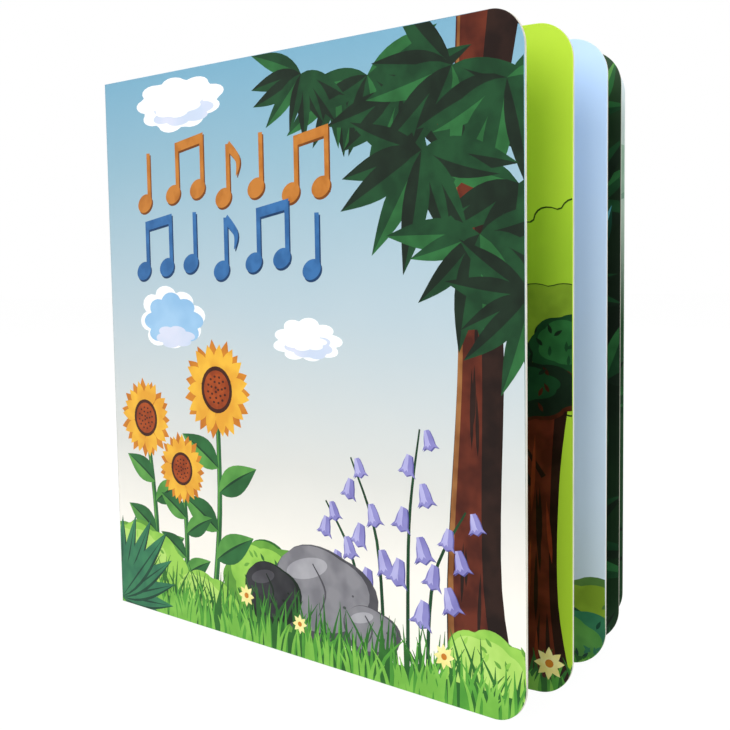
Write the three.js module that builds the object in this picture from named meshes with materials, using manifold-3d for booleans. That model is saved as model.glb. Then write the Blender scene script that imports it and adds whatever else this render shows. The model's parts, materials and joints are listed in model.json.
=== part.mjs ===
// A children's sound book of laminated board, standing on its foot with the leaves fanned open.
// The thick back block holds a sound module: five push buttons on its inner face, a circuit board,
// a small speaker behind a grille in the back cover, three button cells and their screwed door.
//
// Millimetres, +Z up. The origin is the middle of the spine strip's foot. The back block lies along
// +X from the spine to the fore edge, and the leaves and the front cover fan out towards -Y.
import * as THREE from "three";
import { mergeVertices } from "three/addons/utils/BufferGeometryUtils.js";
import Module from "manifold-3d";

const wasm = await Module();
wasm.setup();

const arcSteps = 3; // an arc is drawn with twice as many edges
const turnedSides = 24;
const smallSides = 12; // screws, pegs and bores
const domeSides = 15;
const cutMargin = 1; // how far a cutter runs past the face that it opens

// Driving dimensions of the book
const bookHeight = 210;
const coverWidth = 202; // fold to fore edge
const cornerRadius = 12; // fore-edge corners, cut through the whole book at once
const board = 1.25; // covers, spine and leaves are one thickness of laminated board
const foamDepth = 7; // spacer that makes room for the sound module
const foldGap = 0.3; // bare card left at each scored fold

// How far each board stands open from the back block, in degrees, outermost first
const coverAngle = 30;
const leafAngles = [22.2, 13.3, 6.3];
const gutterLining = 0.75; // glued strip that joins the leaves at the spine

// Sound module
const moduleWidth = 168;
const moduleHeight = 80;
const moduleCorner = 6;
const moduleWall = 1.25;
const shellThickness = 1; // flat walls of the lid and the tray
const moduleGap = 0.3; // between the housing and the foam round it
const moduleFoot = 30; // from the book's foot to the housing
const lipHeight = 1;
const lipGap = 0.2;
const wallGap = 0.5; // between the tray's inner walls and the lid

// Push buttons and their return domes
const buttonCount = 5;
const buttonPitch = 32;
const buttonRadius = 9;
const buttonTravel = 1;
const buttonRecess = 0.25; // below the printed page
const buttonGap = 0.3; // radial, in the lid
const windowGap = 0.5; // radial, in the printed page
const buttonWall = 1;
const buttonCrown = 0.4; // fall of the crowned face to its edge
const buttonEdge = 0.5; // rounding of the edge
const flangeWidth = 1.2;
const flangeDepth = 0.7;
const flangeGap = 0.25; // under the lid
const plungerRadius = 2.5;
const domeRadius = 7;
const domeWall = 0.4;
const domeHeight = buttonTravel + domeWall; // flattened when its button is down
const domeGap = 0.1;
const buttonRowInset = 18; // from the housing's lower side

// Circuit board
const circuitWidth = 148;
const circuitHeight = 32;
const circuitThickness = 1;
const circuitCorner = 1;
const standoffHeight = 0.5;
const standoffRadius = 2.5;
const pegRadius = 1;
const pegGap = 0.2;
const pegInset = 4;
const pegReach = 0.5; // above the circuit board
const chipRadius = 3.5;
const chipHeight = 1.2;
const chipInset = 2; // from the circuit board's upper side

// Speaker
const speakerRadius = 14;
const speakerInset = 28; // centre, from the housing's spine side
const speakerGap = 0.3;
const speakerRimWidth = 1.5;
const speakerRimDepth = 0.5;
const basketRadius = 8;
const basketDepth = 3.5; // from the rim's face to the basket's back
const basketWall = 0.4;
const ventCount = 6;
const ventRadius = 1.2;
const magnetRadius = 6.5;
const magnetDepth = 1;
const coneWall = 0.25;
const coneSeat = 0.6; // from the rim's face to the ledge
const coneLedge = 1.3;
const coneGap = 0.3;
const coneRoll = 0.7; // width of one roll of the surround
const coneRise = 0.15; // of the surround's outer roll
const coneFall = 0.1;
const coneClearance = 0.05; // over the basket's ledge
const capRise = 0.8; // of the dust cap
const speakerRingWall = 1.2;
const speakerRingHeight = 3.5;
const wireRadius = 0.5;
const wireGap = 0.3;
const wireSteps = 14;
const padInset = 3; // solder pads, from the circuit board's upper side

// Sound holes, in rings round a middle one
const grilleRings = 2;
const grillePitch = 4.5;
const grilleHoleRadius = 1.4;

// Button cells, contacts and door
const cellRadius = 5.8;
const cellHeight = 5.4;
const cellPitch = 13;
const cellCount = 3;
const cellGap = 0.7; // between a cell and the compartment's wall
const cellShoulder = 0.3; // step round a cell's cap
const cellChamfer = 0.5;
const compartmentCorner = 1;
const hookRoom = 2; // beside the first cell, for the door's leg
const contactThickness = 0.25;
const contactWidth = 10;
const contactCorner = 1;
const contactGap = 0.1;
const contactInset = 2; // legs, from the circuit board's upper side
const stripWidth = 3;
const doorLedge = 2.5; // the door's overlap on the tray round the compartment
const doorCorner = 3;
const doorGap = 0.3;
const doorInset = 6.4; // from the housing's fore side
const doorSink = 0.5; // how deep the leg's root is drawn into the door
const gripCount = 4; // finger grooves on the door
const gripPitch = 2.2;
const gripWidth = 1.1;
const gripDepth = 0.4;
const gripInset = 2; // from the door's ledge
const tongueHalf = 3;
const tongueThickness = 1;
const tongueReach = 0.9; // under the tray
const tongueGap = 0.3;
const doorScrewMargin = 9; // extra length of the door for its screw
const doorScrewInset = 5.5; // from the door's end

// Screws
const screwHeadRadius = 2.25;
const screwHeadDepth = 0.75;
const screwRim = 0.15; // straight part of the head
const lidScrewLength = 4.5;
const lidScrewSink = 0.05; // below the lid's face
const doorScrewLength = 5;
const doorScrewSink = 0.2; // below the back cover
const screwShankRadius = 0.9;
const screwGap = 0.15;
const bossRadius = 2.75;
const boreFloor = 0.5; // left at the end of a blind bore
const slotWidth = 0.5;
const slotDepth = 0.6;

// Levels through the closed book, front to back
const bookThickness = (leafAngles.length + 3) * board + foamDepth;
const backFace = bookThickness / 2;
const frontFace = -backFace;
const foamBack = backFace - board;
const foamFront = foamBack - foamDepth;
const pageFace = foamFront - board;
const lidInside = foamFront + shellThickness;
const trayInside = foamBack - shellThickness;
const circuitBack = trayInside - standoffHeight;
const circuitFront = circuitBack - circuitThickness;
const domeTop = circuitFront - domeHeight;

// Places along the book's width and in the module's own frame
const spineSide = board / 2;
const blockStart = spineSide + foldGap;
const foreEdge = coverWidth - spineSide;
const moduleX = (blockStart + foreEdge) / 2;
const moduleZ = moduleFoot + moduleHeight / 2;
const rowZ = -moduleHeight / 2 + buttonRowInset;
const upperZ = rowZ + circuitHeight / 2 + (moduleHeight / 2 - (rowZ + circuitHeight / 2)) / 2;
const speakerX = -moduleWidth / 2 + speakerInset;
const doorEnd = moduleWidth / 2 - doorInset;
const doorScrewX = doorEnd - doorScrewInset;
const compartmentHalf = cellRadius + cellGap;
const compartmentEnd = doorEnd - doorScrewMargin - doorLedge;
const firstCellX = compartmentEnd - compartmentHalf - (cellCount - 1) * cellPitch;
const compartmentStart = firstCellX - compartmentHalf - hookRoom;
const doorStart = compartmentStart - doorLedge;
const doorHalf = compartmentHalf + doorLedge;
const legStart = compartmentStart + tongueGap;
const hookStart = compartmentStart - tongueReach;
const hookBack = trayInside - tongueGap;
const hookFront = hookBack - tongueThickness;
const cellFront = lidInside + contactThickness;
const doorContact = foamBack - contactThickness;
const doorScrewFace = backFace - doorScrewSink;

// Colours of the materials
const paint = (color, roughness, metalness = 0) =>
  new THREE.MeshStandardMaterial({ color, roughness, metalness });
const printedCover = paint(0xa9c9dc, 0.35);
const printedPages = paint(0xa2c83a, 0.4);
const printedBlock = paint(0x27452c, 0.4);
const printedBack = paint(0x8fbdd6, 0.35);
const foam = paint(0xf2f2ee, 0.9);
const housingPlastic = paint(0x2b2c30, 0.5);
const buttonPlastic = [0x7a78b8, 0xd99a2b, 0x3f8f4c, 0x3f6f9f, 0xc4582b].map((c) => paint(c, 0.3));
const silicone = paint(0xd8d8d4, 0.6);
const circuitGreen = paint(0x1f6b3a, 0.45);
const epoxy = paint(0x121212, 0.3);
const steel = paint(0xb9bcc0, 0.3, 1);
const magnetIron = paint(0x5a5c60, 0.45, 1);
const mylar = paint(0x3a3a3c, 0.35);
const wireRed = paint(0xb02020, 0.5);
const wireBlack = paint(0x1a1a1a, 0.5);

// A drawing in the XZ plane is extruded from the level front to the level back along +Y
const upright = new THREE.Matrix4().makeBasis(
  new THREE.Vector3(1, 0, 0),
  new THREE.Vector3(0, 0, 1),
  new THREE.Vector3(0, -1, 0),
);

// The solid enclosed by a three.js geometry, ready to be joined or cut
function solidOf(geometry) {
  const bare = new THREE.BufferGeometry();
  bare.setAttribute("position", geometry.getAttribute("position"));
  if (geometry.index) bare.setIndex(geometry.index);
  const merged = mergeVertices(bare, 1e-4);
  return new wasm.Manifold(
    new wasm.Mesh({
      numProp: 3,
      vertProperties: merged.attributes.position.array,
      triVerts: Uint32Array.from(merged.index.array),
    }),
  );
}

// The three.js geometry of a solid
function geometryOf(solid) {
  const mesh = solid.getMesh();
  const geometry = new THREE.BufferGeometry();
  geometry.setAttribute("position", new THREE.BufferAttribute(mesh.vertProperties, 3));
  geometry.setIndex(new THREE.BufferAttribute(mesh.triVerts, 1));
  const faceted = geometry.toNonIndexed();
  faceted.computeVertexNormals();
  return faceted;
}

function slab(shape, front, back) {
  const geometry = new THREE.ExtrudeGeometry(shape, {
    depth: back - front,
    bevelEnabled: false,
    curveSegments: arcSteps,
  });
  return solidOf(geometry.applyMatrix4(upright).translate(0, back, 0));
}

// A turned solid about the line along Y through (x, z). The profile is a list of [radius, level].
function turned(profile, x = 0, z = 0, sides = turnedSides) {
  const points = profile.map(([radius, level]) => new THREE.Vector2(radius, level));
  const clockwise = THREE.ShapeUtils.isClockWise([...points]);
  const ordered = clockwise ? points.reverse() : points;
  if (ordered[0].x > 0) ordered.push(ordered[0].clone());
  return solidOf(new THREE.LatheGeometry(ordered, sides).translate(x, 0, z));
}

function rod(x, z, radius, front, back) {
  return turned([[0, front], [radius, front], [radius, back], [0, back]], x, z, smallSides);
}

function joined(solids) {
  return solids.reduce((whole, next) => whole.add(next));
}

function cutBy(solid, cutters) {
  return cutters.reduce((rest, cutter) => rest.subtract(cutter), solid);
}

// Outline of a board whose spine side is square and whose fore corners are round
function boardShape(start, end) {
  const shape = new THREE.Shape();
  shape.moveTo(start, 0);
  shape.lineTo(end - cornerRadius, 0);
  shape.absarc(end - cornerRadius, cornerRadius, cornerRadius, -Math.PI / 2, 0);
  shape.absarc(end - cornerRadius, bookHeight - cornerRadius, cornerRadius, 0, Math.PI / 2);
  shape.lineTo(start, bookHeight);
  shape.closePath();
  return shape;
}

// A rectangle with round corners between two opposite corners
function roundedShape(left, bottom, right, top, radius, Kind = THREE.Shape) {
  const shape = new Kind();
  shape.moveTo(left + radius, bottom);
  shape.lineTo(right - radius, bottom);
  shape.absarc(right - radius, bottom + radius, radius, -Math.PI / 2, 0);
  shape.absarc(right - radius, top - radius, radius, 0, Math.PI / 2);
  shape.absarc(left + radius, top - radius, radius, Math.PI / 2, Math.PI);
  shape.absarc(left + radius, bottom + radius, radius, Math.PI, 1.5 * Math.PI);
  return shape;
}

function centredShape(width, height, radius, Kind = THREE.Shape) {
  return roundedShape(-width / 2, -height / 2, width / 2, height / 2, radius, Kind);
}

function shifted(path, x, z) {
  return new THREE.Path(path.getPoints(arcSteps).map((p) => new THREE.Vector2(p.x + x, p.y + z)));
}

// Large circles are drawn as four arcs and small ones as two, so both get edges of a like length
function circle(x, z, radius, arcs = 4, Kind = THREE.Path) {
  const path = new Kind();
  for (let i = 0; i < arcs; i += 1) {
    path.absarc(x, z, radius, (2 * Math.PI * i) / arcs, (2 * Math.PI * (i + 1)) / arcs);
  }
  return path;
}

// Places that several pieces share, in the module's frame
const buttonPlaces = Array.from({ length: buttonCount }, (_, i) => [
  (i - (buttonCount - 1) / 2) * buttonPitch,
  rowZ,
]);
const grilleHoles = [[speakerX, upperZ]];
for (let ring = 1; ring <= grilleRings; ring += 1) {
  for (let i = 0; i < 6 * ring; i += 1) {
    const turn = (2 * Math.PI * i) / (6 * ring);
    grilleHoles.push([
      speakerX + ring * grillePitch * Math.cos(turn),
      upperZ + ring * grillePitch * Math.sin(turn),
    ]);
  }
}
const corners = [[-1, -1], [1, -1], [1, 1], [-1, 1]];
const bossInset = moduleWall + bossRadius;
const lidScrewPlaces = corners.map(([sx, sz]) => [
  sx * (moduleWidth / 2 - bossInset),
  sz * (moduleHeight / 2 - bossInset),
]);
const pegPlaces = corners.map(([sx, sz]) => [
  sx * (circuitWidth / 2 - pegInset),
  rowZ + sz * (circuitHeight / 2 - pegInset),
]);
const cellPlaces = Array.from({ length: cellCount }, (_, i) => [
  firstCellX + i * cellPitch,
  upperZ,
]);

// Front cover, turned about the outer edge of its scored fold
function frontCover() {
  return slab(boardShape(0, coverWidth), 0, board);
}

// The leaves are one block: a glued lining at the spine joins the fanned boards
function pageBlock() {
  const leaves = leafAngles.map((angle, i) => {
    const leaf = slab(boardShape(0, foreEdge - spineSide), 0, board);
    return leaf.rotate([0, 0, -angle]).translate([spineSide, frontFace + (i + 1) * board, 0]);
  });
  const lining = new THREE.BoxGeometry(gutterLining, pageFace - frontFace - board, bookHeight);
  lining.translate(
    spineSide + gutterLining / 2,
    (pageFace + frontFace + board) / 2,
    bookHeight / 2,
  );
  return joined([solidOf(lining), ...leaves]);
}

function spineStrip() {
  const depth = bookThickness - 2 * (board + foldGap);
  return solidOf(new THREE.BoxGeometry(board, depth, bookHeight).translate(0, 0, bookHeight / 2));
}

// The block's inner face, with a window for each button
function pageBoard() {
  const shape = boardShape(blockStart, foreEdge);
  shape.holes = buttonPlaces.map(([x, z]) =>
    circle(x + moduleX, z + moduleZ, buttonRadius + windowGap),
  );
  return slab(shape, pageFace, foamFront);
}

function foamFrame() {
  const shape = boardShape(blockStart, foreEdge);
  const pocket = centredShape(
    moduleWidth + 2 * moduleGap,
    moduleHeight + 2 * moduleGap,
    moduleCorner + moduleGap,
    THREE.Path,
  );
  shape.holes = [shifted(pocket, moduleX, moduleZ)];
  return slab(shape, foamFront, foamBack);
}

// The back cover, with the sound holes and the window of the battery door
function backCover() {
  const shape = boardShape(-spineSide, foreEdge);
  const doorWindow = roundedShape(
    doorStart - doorGap,
    upperZ - doorHalf - doorGap,
    doorEnd + doorGap,
    upperZ + doorHalf + doorGap,
    doorCorner + doorGap,
    THREE.Path,
  );
  shape.holes = [
    shifted(doorWindow, moduleX, moduleZ),
    ...grilleHoles.map(([x, z]) => circle(x + moduleX, z + moduleZ, grilleHoleRadius, 2)),
  ];
  return slab(shape, foamBack, backFace);
}

// Shared outlines of the housing's inside
function insideShape(gap, Kind) {
  return centredShape(
    moduleWidth - 2 * (moduleWall + gap),
    moduleHeight - 2 * (moduleWall + gap),
    moduleCorner - moduleWall - gap,
    Kind,
  );
}

function moduleLid() {
  const plateShape = centredShape(moduleWidth, moduleHeight, moduleCorner);
  plateShape.holes = buttonPlaces.map(([x, z]) => circle(x, z, buttonRadius + buttonGap));
  const plate = slab(plateShape, foamFront, lidInside);
  const lipShape = insideShape(lipGap);
  lipShape.holes = [insideShape(lipGap + shellThickness, THREE.Path)];
  const lip = cutBy(
    slab(lipShape, lidInside - shellThickness / 2, lidInside + lipHeight),
    lidScrewPlaces.map(([x, z]) => rod(x, z, bossRadius + 2 * lipGap, foamFront, trayInside)),
  );
  const headSeat = foamFront + lidScrewSink + screwHeadDepth;
  const seats = lidScrewPlaces.flatMap(([x, z]) => [
    rod(x, z, screwHeadRadius + screwGap, foamFront - cutMargin, headSeat),
    rod(x, z, screwShankRadius + screwGap, foamFront - cutMargin, lidInside + cutMargin),
  ]);
  return cutBy(joined([plate, lip]), seats);
}

// The battery compartment's walls stand on the tray, and its mouth opens through the floor
function compartmentShape(extra, Kind) {
  return roundedShape(
    compartmentStart - extra,
    upperZ - compartmentHalf - extra,
    compartmentEnd + extra,
    upperZ + compartmentHalf + extra,
    compartmentCorner + extra,
    Kind,
  );
}

function moduleTray() {
  const floorShape = centredShape(moduleWidth, moduleHeight, moduleCorner);
  floorShape.holes = [
    compartmentShape(0, THREE.Path),
    ...grilleHoles.map(([x, z]) => circle(x, z, grilleHoleRadius, 2)),
  ];
  const floor = slab(floorShape, trayInside, foamBack);

  const wallShape = centredShape(moduleWidth, moduleHeight, moduleCorner);
  wallShape.holes = [insideShape(0, THREE.Path)];
  const wall = slab(wallShape, lidInside, trayInside);

  const ringInside = speakerRadius + speakerGap;
  const ringShape = circle(speakerX, upperZ, ringInside + speakerRingWall, 4, THREE.Shape);
  ringShape.holes = [circle(speakerX, upperZ, ringInside)];
  const speakerRing = slab(ringShape, trayInside - speakerRingHeight, trayInside);

  const compartment = compartmentShape(shellThickness);
  compartment.holes = [compartmentShape(0, THREE.Path)];
  const cellWalls = slab(compartment, lidInside + wallGap, trayInside).subtract(
    slab(
      roundedShape(
        hookStart - tongueGap,
        upperZ - tongueHalf - tongueGap,
        compartmentStart + tongueGap,
        upperZ + tongueHalf + tongueGap,
        tongueGap,
      ),
      hookFront - tongueGap,
      trayInside,
    ),
  );

  const bosses = lidScrewPlaces.map(([x, z]) => rod(x, z, bossRadius, lidInside, trayInside));
  const doorBoss = rod(doorScrewX, upperZ, bossRadius, lidInside + wallGap, trayInside);
  const standoffs = pegPlaces.flatMap(([x, z]) => [
    rod(x, z, standoffRadius, circuitBack, trayInside),
    rod(x, z, pegRadius, circuitFront - pegReach, trayInside),
  ]);
  const boreRadius = screwShankRadius + screwGap;
  const bores = [
    ...lidScrewPlaces.map(([x, z]) =>
      rod(x, z, boreRadius, lidInside - cutMargin, trayInside - boreFloor),
    ),
    rod(doorScrewX, upperZ, boreRadius, lidInside + wallGap + boreFloor, foamBack + cutMargin),
  ];
  const whole = joined([floor, wall, speakerRing, cellWalls, doorBoss, ...bosses, ...standoffs]);
  return cutBy(whole, bores);
}

function circuitBoard() {
  const left = -circuitWidth / 2;
  const shape = roundedShape(
    left,
    rowZ - circuitHeight / 2,
    -left,
    rowZ + circuitHeight / 2,
    circuitCorner,
  );
  shape.holes = pegPlaces.map(([x, z]) => circle(x, z, pegRadius + pegGap, 2));
  return slab(shape, circuitFront, circuitBack);
}

// The bare chip lies under a drop of black epoxy
function soundChip() {
  const drop = [[0, circuitFront]];
  const steps = 4;
  for (let i = 0; i < steps; i += 1) {
    const turn = (Math.PI / 2) * (i / steps);
    drop.push([chipRadius * Math.cos(turn), circuitFront - chipHeight * Math.sin(turn)]);
  }
  drop.push([0, circuitFront - chipHeight]);
  return turned(drop, buttonPitch / 2, rowZ + circuitHeight / 2 - chipRadius - chipInset);
}

// A hollow cap with a crowned face, a flange that the lid holds in, and a plunger
function buttonCap() {
  const face = pageFace + buttonRecess;
  const flangeFront = lidInside + flangeGap;
  const flangeBack = flangeFront + flangeDepth;
  const outer = buttonRadius + flangeWidth;
  const inner = buttonRadius - buttonWall;
  const roof = face + buttonCrown + buttonWall;
  return turned([
    [0, face],
    [buttonRadius * 0.55, face + buttonCrown * 0.3],
    [buttonRadius - buttonEdge * 1.6, face + buttonCrown * 0.75],
    [buttonRadius - buttonEdge * 0.4, face + buttonCrown + buttonEdge * 0.3],
    [buttonRadius, face + buttonCrown + buttonEdge],
    [buttonRadius, flangeFront],
    [outer, flangeFront],
    [outer, flangeBack],
    [inner, flangeBack],
    [inner, roof],
    [plungerRadius, roof],
    [plungerRadius, domeTop - domeGap],
    [0, domeTop - domeGap],
  ]);
}

// A silicone cup that snaps down under the plunger and pushes it back
function returnDome() {
  const top = plungerRadius + domeWall;
  const foot = domeRadius - 1;
  return turned(
    [
      [0, domeTop],
      [top, domeTop],
      [foot, circuitFront - domeWall],
      [domeRadius, circuitFront - domeWall],
      [domeRadius, circuitFront],
      [foot - domeWall, circuitFront],
      [top - domeWall, domeTop + domeWall],
      [0, domeTop + domeWall],
    ],
    0,
    0,
    domeSides,
  );
}

// Pressed steel basket with a ledge for the cone's edge and vents round its back
function speakerFrame() {
  const rim = speakerRadius - speakerRimWidth;
  const back = trayInside - basketDepth;
  const ledge = trayInside - coneSeat;
  const basket = turned([
    [0, back],
    [basketRadius, back],
    [rim - coneLedge, ledge - basketWall],
    [rim + basketWall, ledge - basketWall],
    [rim + basketWall, trayInside - speakerRimDepth],
    [speakerRadius, trayInside - speakerRimDepth],
    [speakerRadius, trayInside],
    [rim, trayInside],
    [rim, ledge],
    [rim - coneLedge, ledge],
    [basketRadius - basketWall, back + basketWall],
    [0, back + basketWall],
  ]);
  const mid = (basketRadius + rim) / 2;
  const vents = Array.from({ length: ventCount }, (_, i) => {
    const turn = (2 * Math.PI * i) / ventCount;
    return rod(mid * Math.cos(turn), mid * Math.sin(turn), ventRadius, back - cutMargin, trayInside);
  });
  return cutBy(basket, vents);
}

// Paper-thin cone with a rolled surround at its edge and a dust cap in the middle
function speakerCone() {
  const edge = speakerRadius - speakerRimWidth - coneGap;
  const seat = trayInside - coneSeat + coneWall + coneClearance;
  const neck = basketRadius / 2;
  const deep = trayInside - basketDepth + basketWall + magnetDepth;
  const surface = [
    [edge, seat],
    [edge - coneRoll, seat + coneRise],
    [edge - 2 * coneRoll, seat - coneFall],
    [neck, deep],
    [neck / 2, deep + capRise * 0.75],
    [0, deep + capRise],
  ];
  const under = surface.map(([radius, level]) => [radius, level - coneWall]);
  return turned([...surface.reverse(), ...under]);
}

function speakerMagnet() {
  const back = trayInside - basketDepth;
  const chamfer = 0.2;
  return turned([
    [0, back - magnetDepth],
    [magnetRadius - chamfer, back - magnetDepth],
    [magnetRadius, back - magnetDepth + chamfer],
    [magnetRadius, back],
    [0, back],
  ]);
}

// A wire from the circuit board, over the speaker's ring, to the back of its basket
function speakerWire(side) {
  const x = speakerX + side * wireRadius * 2.5;
  const padZ = rowZ + circuitHeight / 2 - padInset;
  const ringZ = upperZ - speakerRadius - speakerGap - speakerRingWall / 2;
  const padLevel = circuitFront - wireRadius - wireGap;
  const overRing = trayInside - speakerRingHeight - wireRadius - wireGap;
  const tagZ = upperZ - (basketRadius + speakerRadius - speakerRimWidth) / 2;
  const tagLevel = trayInside - (basketDepth + speakerRimDepth) / 2 - wireRadius - 1.5 * wireGap;
  const path = new THREE.CatmullRomCurve3([
    new THREE.Vector3(x + side * wireRadius * 3, padLevel, padZ),
    new THREE.Vector3(x + side * wireRadius * 3, padLevel - 0.2, padZ + 2),
    new THREE.Vector3(x, overRing, ringZ - 2),
    new THREE.Vector3(x, overRing, ringZ + 1),
    new THREE.Vector3(x, tagLevel, tagZ),
  ]);
  const section = circle(0, 0, wireRadius, 1, THREE.Shape);
  return solidOf(
    new THREE.ExtrudeGeometry(section, {
      extrudePath: path,
      steps: wireSteps,
      curveSegments: arcSteps,
    }),
  );
}

// Crimped can of a button cell, its cap towards the lid
function buttonCell() {
  const back = cellFront + cellHeight;
  return turned([
    [0, cellFront],
    [cellRadius * 0.78, cellFront],
    [cellRadius * 0.8, cellFront + cellShoulder],
    [cellRadius - cellChamfer, cellFront + cellShoulder],
    [cellRadius, cellFront + cellShoulder + cellChamfer],
    [cellRadius, back - cellChamfer / 2],
    [cellRadius - cellChamfer / 2, back],
    [0, back],
  ]);
}

// A flat contact plate that lies across neighbouring cells
function contactPlate(from, to, front) {
  const left = cellPlaces[from][0] - contactWidth / 2;
  const right = cellPlaces[to][0] + contactWidth / 2;
  const half = contactWidth / 2;
  const shape = roundedShape(left, upperZ - half, right, upperZ + half, contactCorner);
  return slab(shape, front, front + contactThickness);
}

// A bent strip of constant width. Its section is drawn as [z, level] corners.
function bentStrip(x, section) {
  const shape = new THREE.Shape(section.map(([z, level]) => new THREE.Vector2(level, z)));
  const geometry = new THREE.ExtrudeGeometry(shape, { depth: stripWidth, bevelEnabled: false });
  const across = new THREE.Matrix4().makeBasis(
    new THREE.Vector3(0, 1, 0),
    new THREE.Vector3(0, 0, 1),
    new THREE.Vector3(1, 0, 0),
  );
  return solidOf(geometry.applyMatrix4(across).translate(x - stripWidth / 2, 0, 0));
}

// The first cell's contact runs along the lid and comes down on the circuit board
function positiveContact() {
  const t = contactThickness;
  const legZ = rowZ + circuitHeight / 2 - contactInset;
  const strip = bentStrip(cellPlaces[0][0], [
    [upperZ, lidInside],
    [upperZ, lidInside + t],
    [legZ + t, lidInside + t],
    [legZ + t, circuitFront],
    [legZ, circuitFront],
    [legZ, lidInside],
  ]);
  return joined([contactPlate(0, 0, lidInside), strip]);
}

// The last cell's contact lies at the door and climbs the compartment's wall on its way
function negativeContact() {
  const t = contactThickness;
  const legZ = rowZ + circuitHeight / 2 - contactInset;
  const wallZ = upperZ - compartmentHalf + contactGap;
  const bridge = lidInside + contactGap;
  const strip = bentStrip(cellPlaces[cellCount - 1][0], [
    [upperZ, doorContact],
    [upperZ, doorContact + t],
    [wallZ, doorContact + t],
    [wallZ, bridge + t],
    [legZ + t, bridge + t],
    [legZ + t, circuitFront],
    [legZ, circuitFront],
    [legZ, bridge],
    [wallZ + t, bridge],
    [wallZ + t, doorContact],
  ]);
  return joined([contactPlate(cellCount - 1, cellCount - 1, doorContact), strip]);
}

// The door is flush with the back cover. A tongue hooks under the tray and a screw holds the far end.
function batteryDoor() {
  const shape = roundedShape(
    doorStart,
    upperZ - doorHalf,
    doorEnd,
    upperZ + doorHalf,
    doorCorner,
  );
  const panel = slab(shape, foamBack, backFace);
  const low = upperZ - tongueHalf;
  const high = upperZ + tongueHalf;
  const legEnd = legStart + tongueThickness;
  const leg = slab(roundedShape(legStart, low, legEnd, high, tongueGap), hookFront, foamBack + doorSink);
  const hook = slab(roundedShape(hookStart, low, legEnd, high, tongueGap), hookFront, hookBack);
  const screwSeat = turned(
    [
      [0, foamBack - cutMargin],
      [screwShankRadius + screwGap, foamBack - cutMargin],
      [screwShankRadius + screwGap, doorScrewFace - screwHeadDepth - screwGap],
      [screwHeadRadius + screwGap, doorScrewFace - screwRim - screwGap],
      [screwHeadRadius + screwGap, backFace + cutMargin],
      [0, backFace + cutMargin],
    ],
    doorScrewX,
    upperZ,
    smallSides,
  );
  const half = doorHalf / 2;
  const grooves = Array.from({ length: gripCount }, (_, i) => {
    const x = doorStart + doorLedge + gripInset + gripPitch * i;
    return slab(
      roundedShape(x, upperZ - half, x + gripWidth, upperZ + half, gripWidth * 0.45),
      backFace - gripDepth,
      backFace + cutMargin,
    );
  });
  return cutBy(joined([panel, leg, hook]), [screwSeat, ...grooves]);
}

// A cross-head screw. Its head faces along the given direction of Y.
function crossScrew(headFace, direction, length) {
  const level = (depth) => headFace - direction * depth;
  const body = turned(
    [
      [0, level(0)],
      [screwHeadRadius * 0.9, level(0)],
      [screwHeadRadius, level(screwRim)],
      [screwShankRadius, level(screwHeadDepth)],
      [screwShankRadius, level(length - screwShankRadius)],
      [0, level(length)],
    ],
    0,
    0,
    smallSides,
  );
  const slotLength = screwHeadRadius * 1.2;
  const slots = [
    [slotLength, slotWidth],
    [slotWidth, slotLength],
  ].map(([x, z]) => solidOf(new THREE.BoxGeometry(x, 2 * slotDepth, z).translate(0, headFace, 0)));
  return cutBy(body, slots);
}

// Assembly
function named(name, solid, material, x = 0, y = 0, z = 0) {
  const mesh = new THREE.Mesh(geometryOf(solid), material);
  mesh.name = name;
  mesh.position.set(x, y, z);
  return mesh;
}

const book = new THREE.Group();

const coverHinge = new THREE.Group();
coverHinge.position.set(-spineSide, frontFace, 0);
coverHinge.rotation.z = THREE.MathUtils.degToRad(-coverAngle);
coverHinge.add(named("front_cover", frontCover(), printedCover));

const pages = new THREE.Group();
pages.add(
  named("spine_strip", spineStrip(), printedCover),
  named("page_block", pageBlock(), printedPages),
);

const block = new THREE.Group();
block.add(
  named("page_board", pageBoard(), printedBlock),
  named("foam_frame", foamFrame(), foam),
  named("back_cover", backCover(), printedBack),
);

const soundModule = new THREE.Group();
soundModule.position.set(moduleX, 0, moduleZ);
soundModule.add(
  named("module_lid", moduleLid(), housingPlastic),
  named("module_tray", moduleTray(), housingPlastic),
  named("circuit_board", circuitBoard(), circuitGreen),
  named("sound_chip", soundChip(), epoxy),
  named("speaker_frame", speakerFrame(), steel, speakerX, 0, upperZ),
  named("speaker_cone", speakerCone(), mylar, speakerX, 0, upperZ),
  named("speaker_magnet", speakerMagnet(), magnetIron, speakerX, 0, upperZ),
  named("speaker_wire_red", speakerWire(1), wireRed),
  named("speaker_wire_black", speakerWire(-1), wireBlack),
  named("contact_positive", positiveContact(), steel),
  named("contact_negative", negativeContact(), steel),
  named("contact_link_lid", contactPlate(1, cellCount - 1, lidInside), steel),
  named("contact_link_door", contactPlate(0, 1, doorContact), steel),
  named("battery_door", batteryDoor(), housingPlastic),
  named("door_screw", crossScrew(doorScrewFace, 1, doorScrewLength), steel, doorScrewX, 0, upperZ),
);
buttonPlaces.forEach(([x, z], i) => {
  const number = i + 1;
  const colour = buttonPlastic[i % buttonPlastic.length];
  soundModule.add(
    named("button_" + number, buttonCap(), colour, x, 0, z),
    named("return_dome_" + number, returnDome(), silicone, x, 0, z),
  );
});
cellPlaces.forEach(([x, z], i) => {
  soundModule.add(named("button_cell_" + (i + 1), buttonCell(), steel, x, 0, z));
});
lidScrewPlaces.forEach(([x, z], i) => {
  const screw = crossScrew(foamFront + lidScrewSink, -1, lidScrewLength);
  soundModule.add(named("lid_screw_" + (i + 1), screw, steel, x, 0, z));
});
block.add(soundModule);

book.add(coverHinge, pages, block);

export default book;
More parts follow.
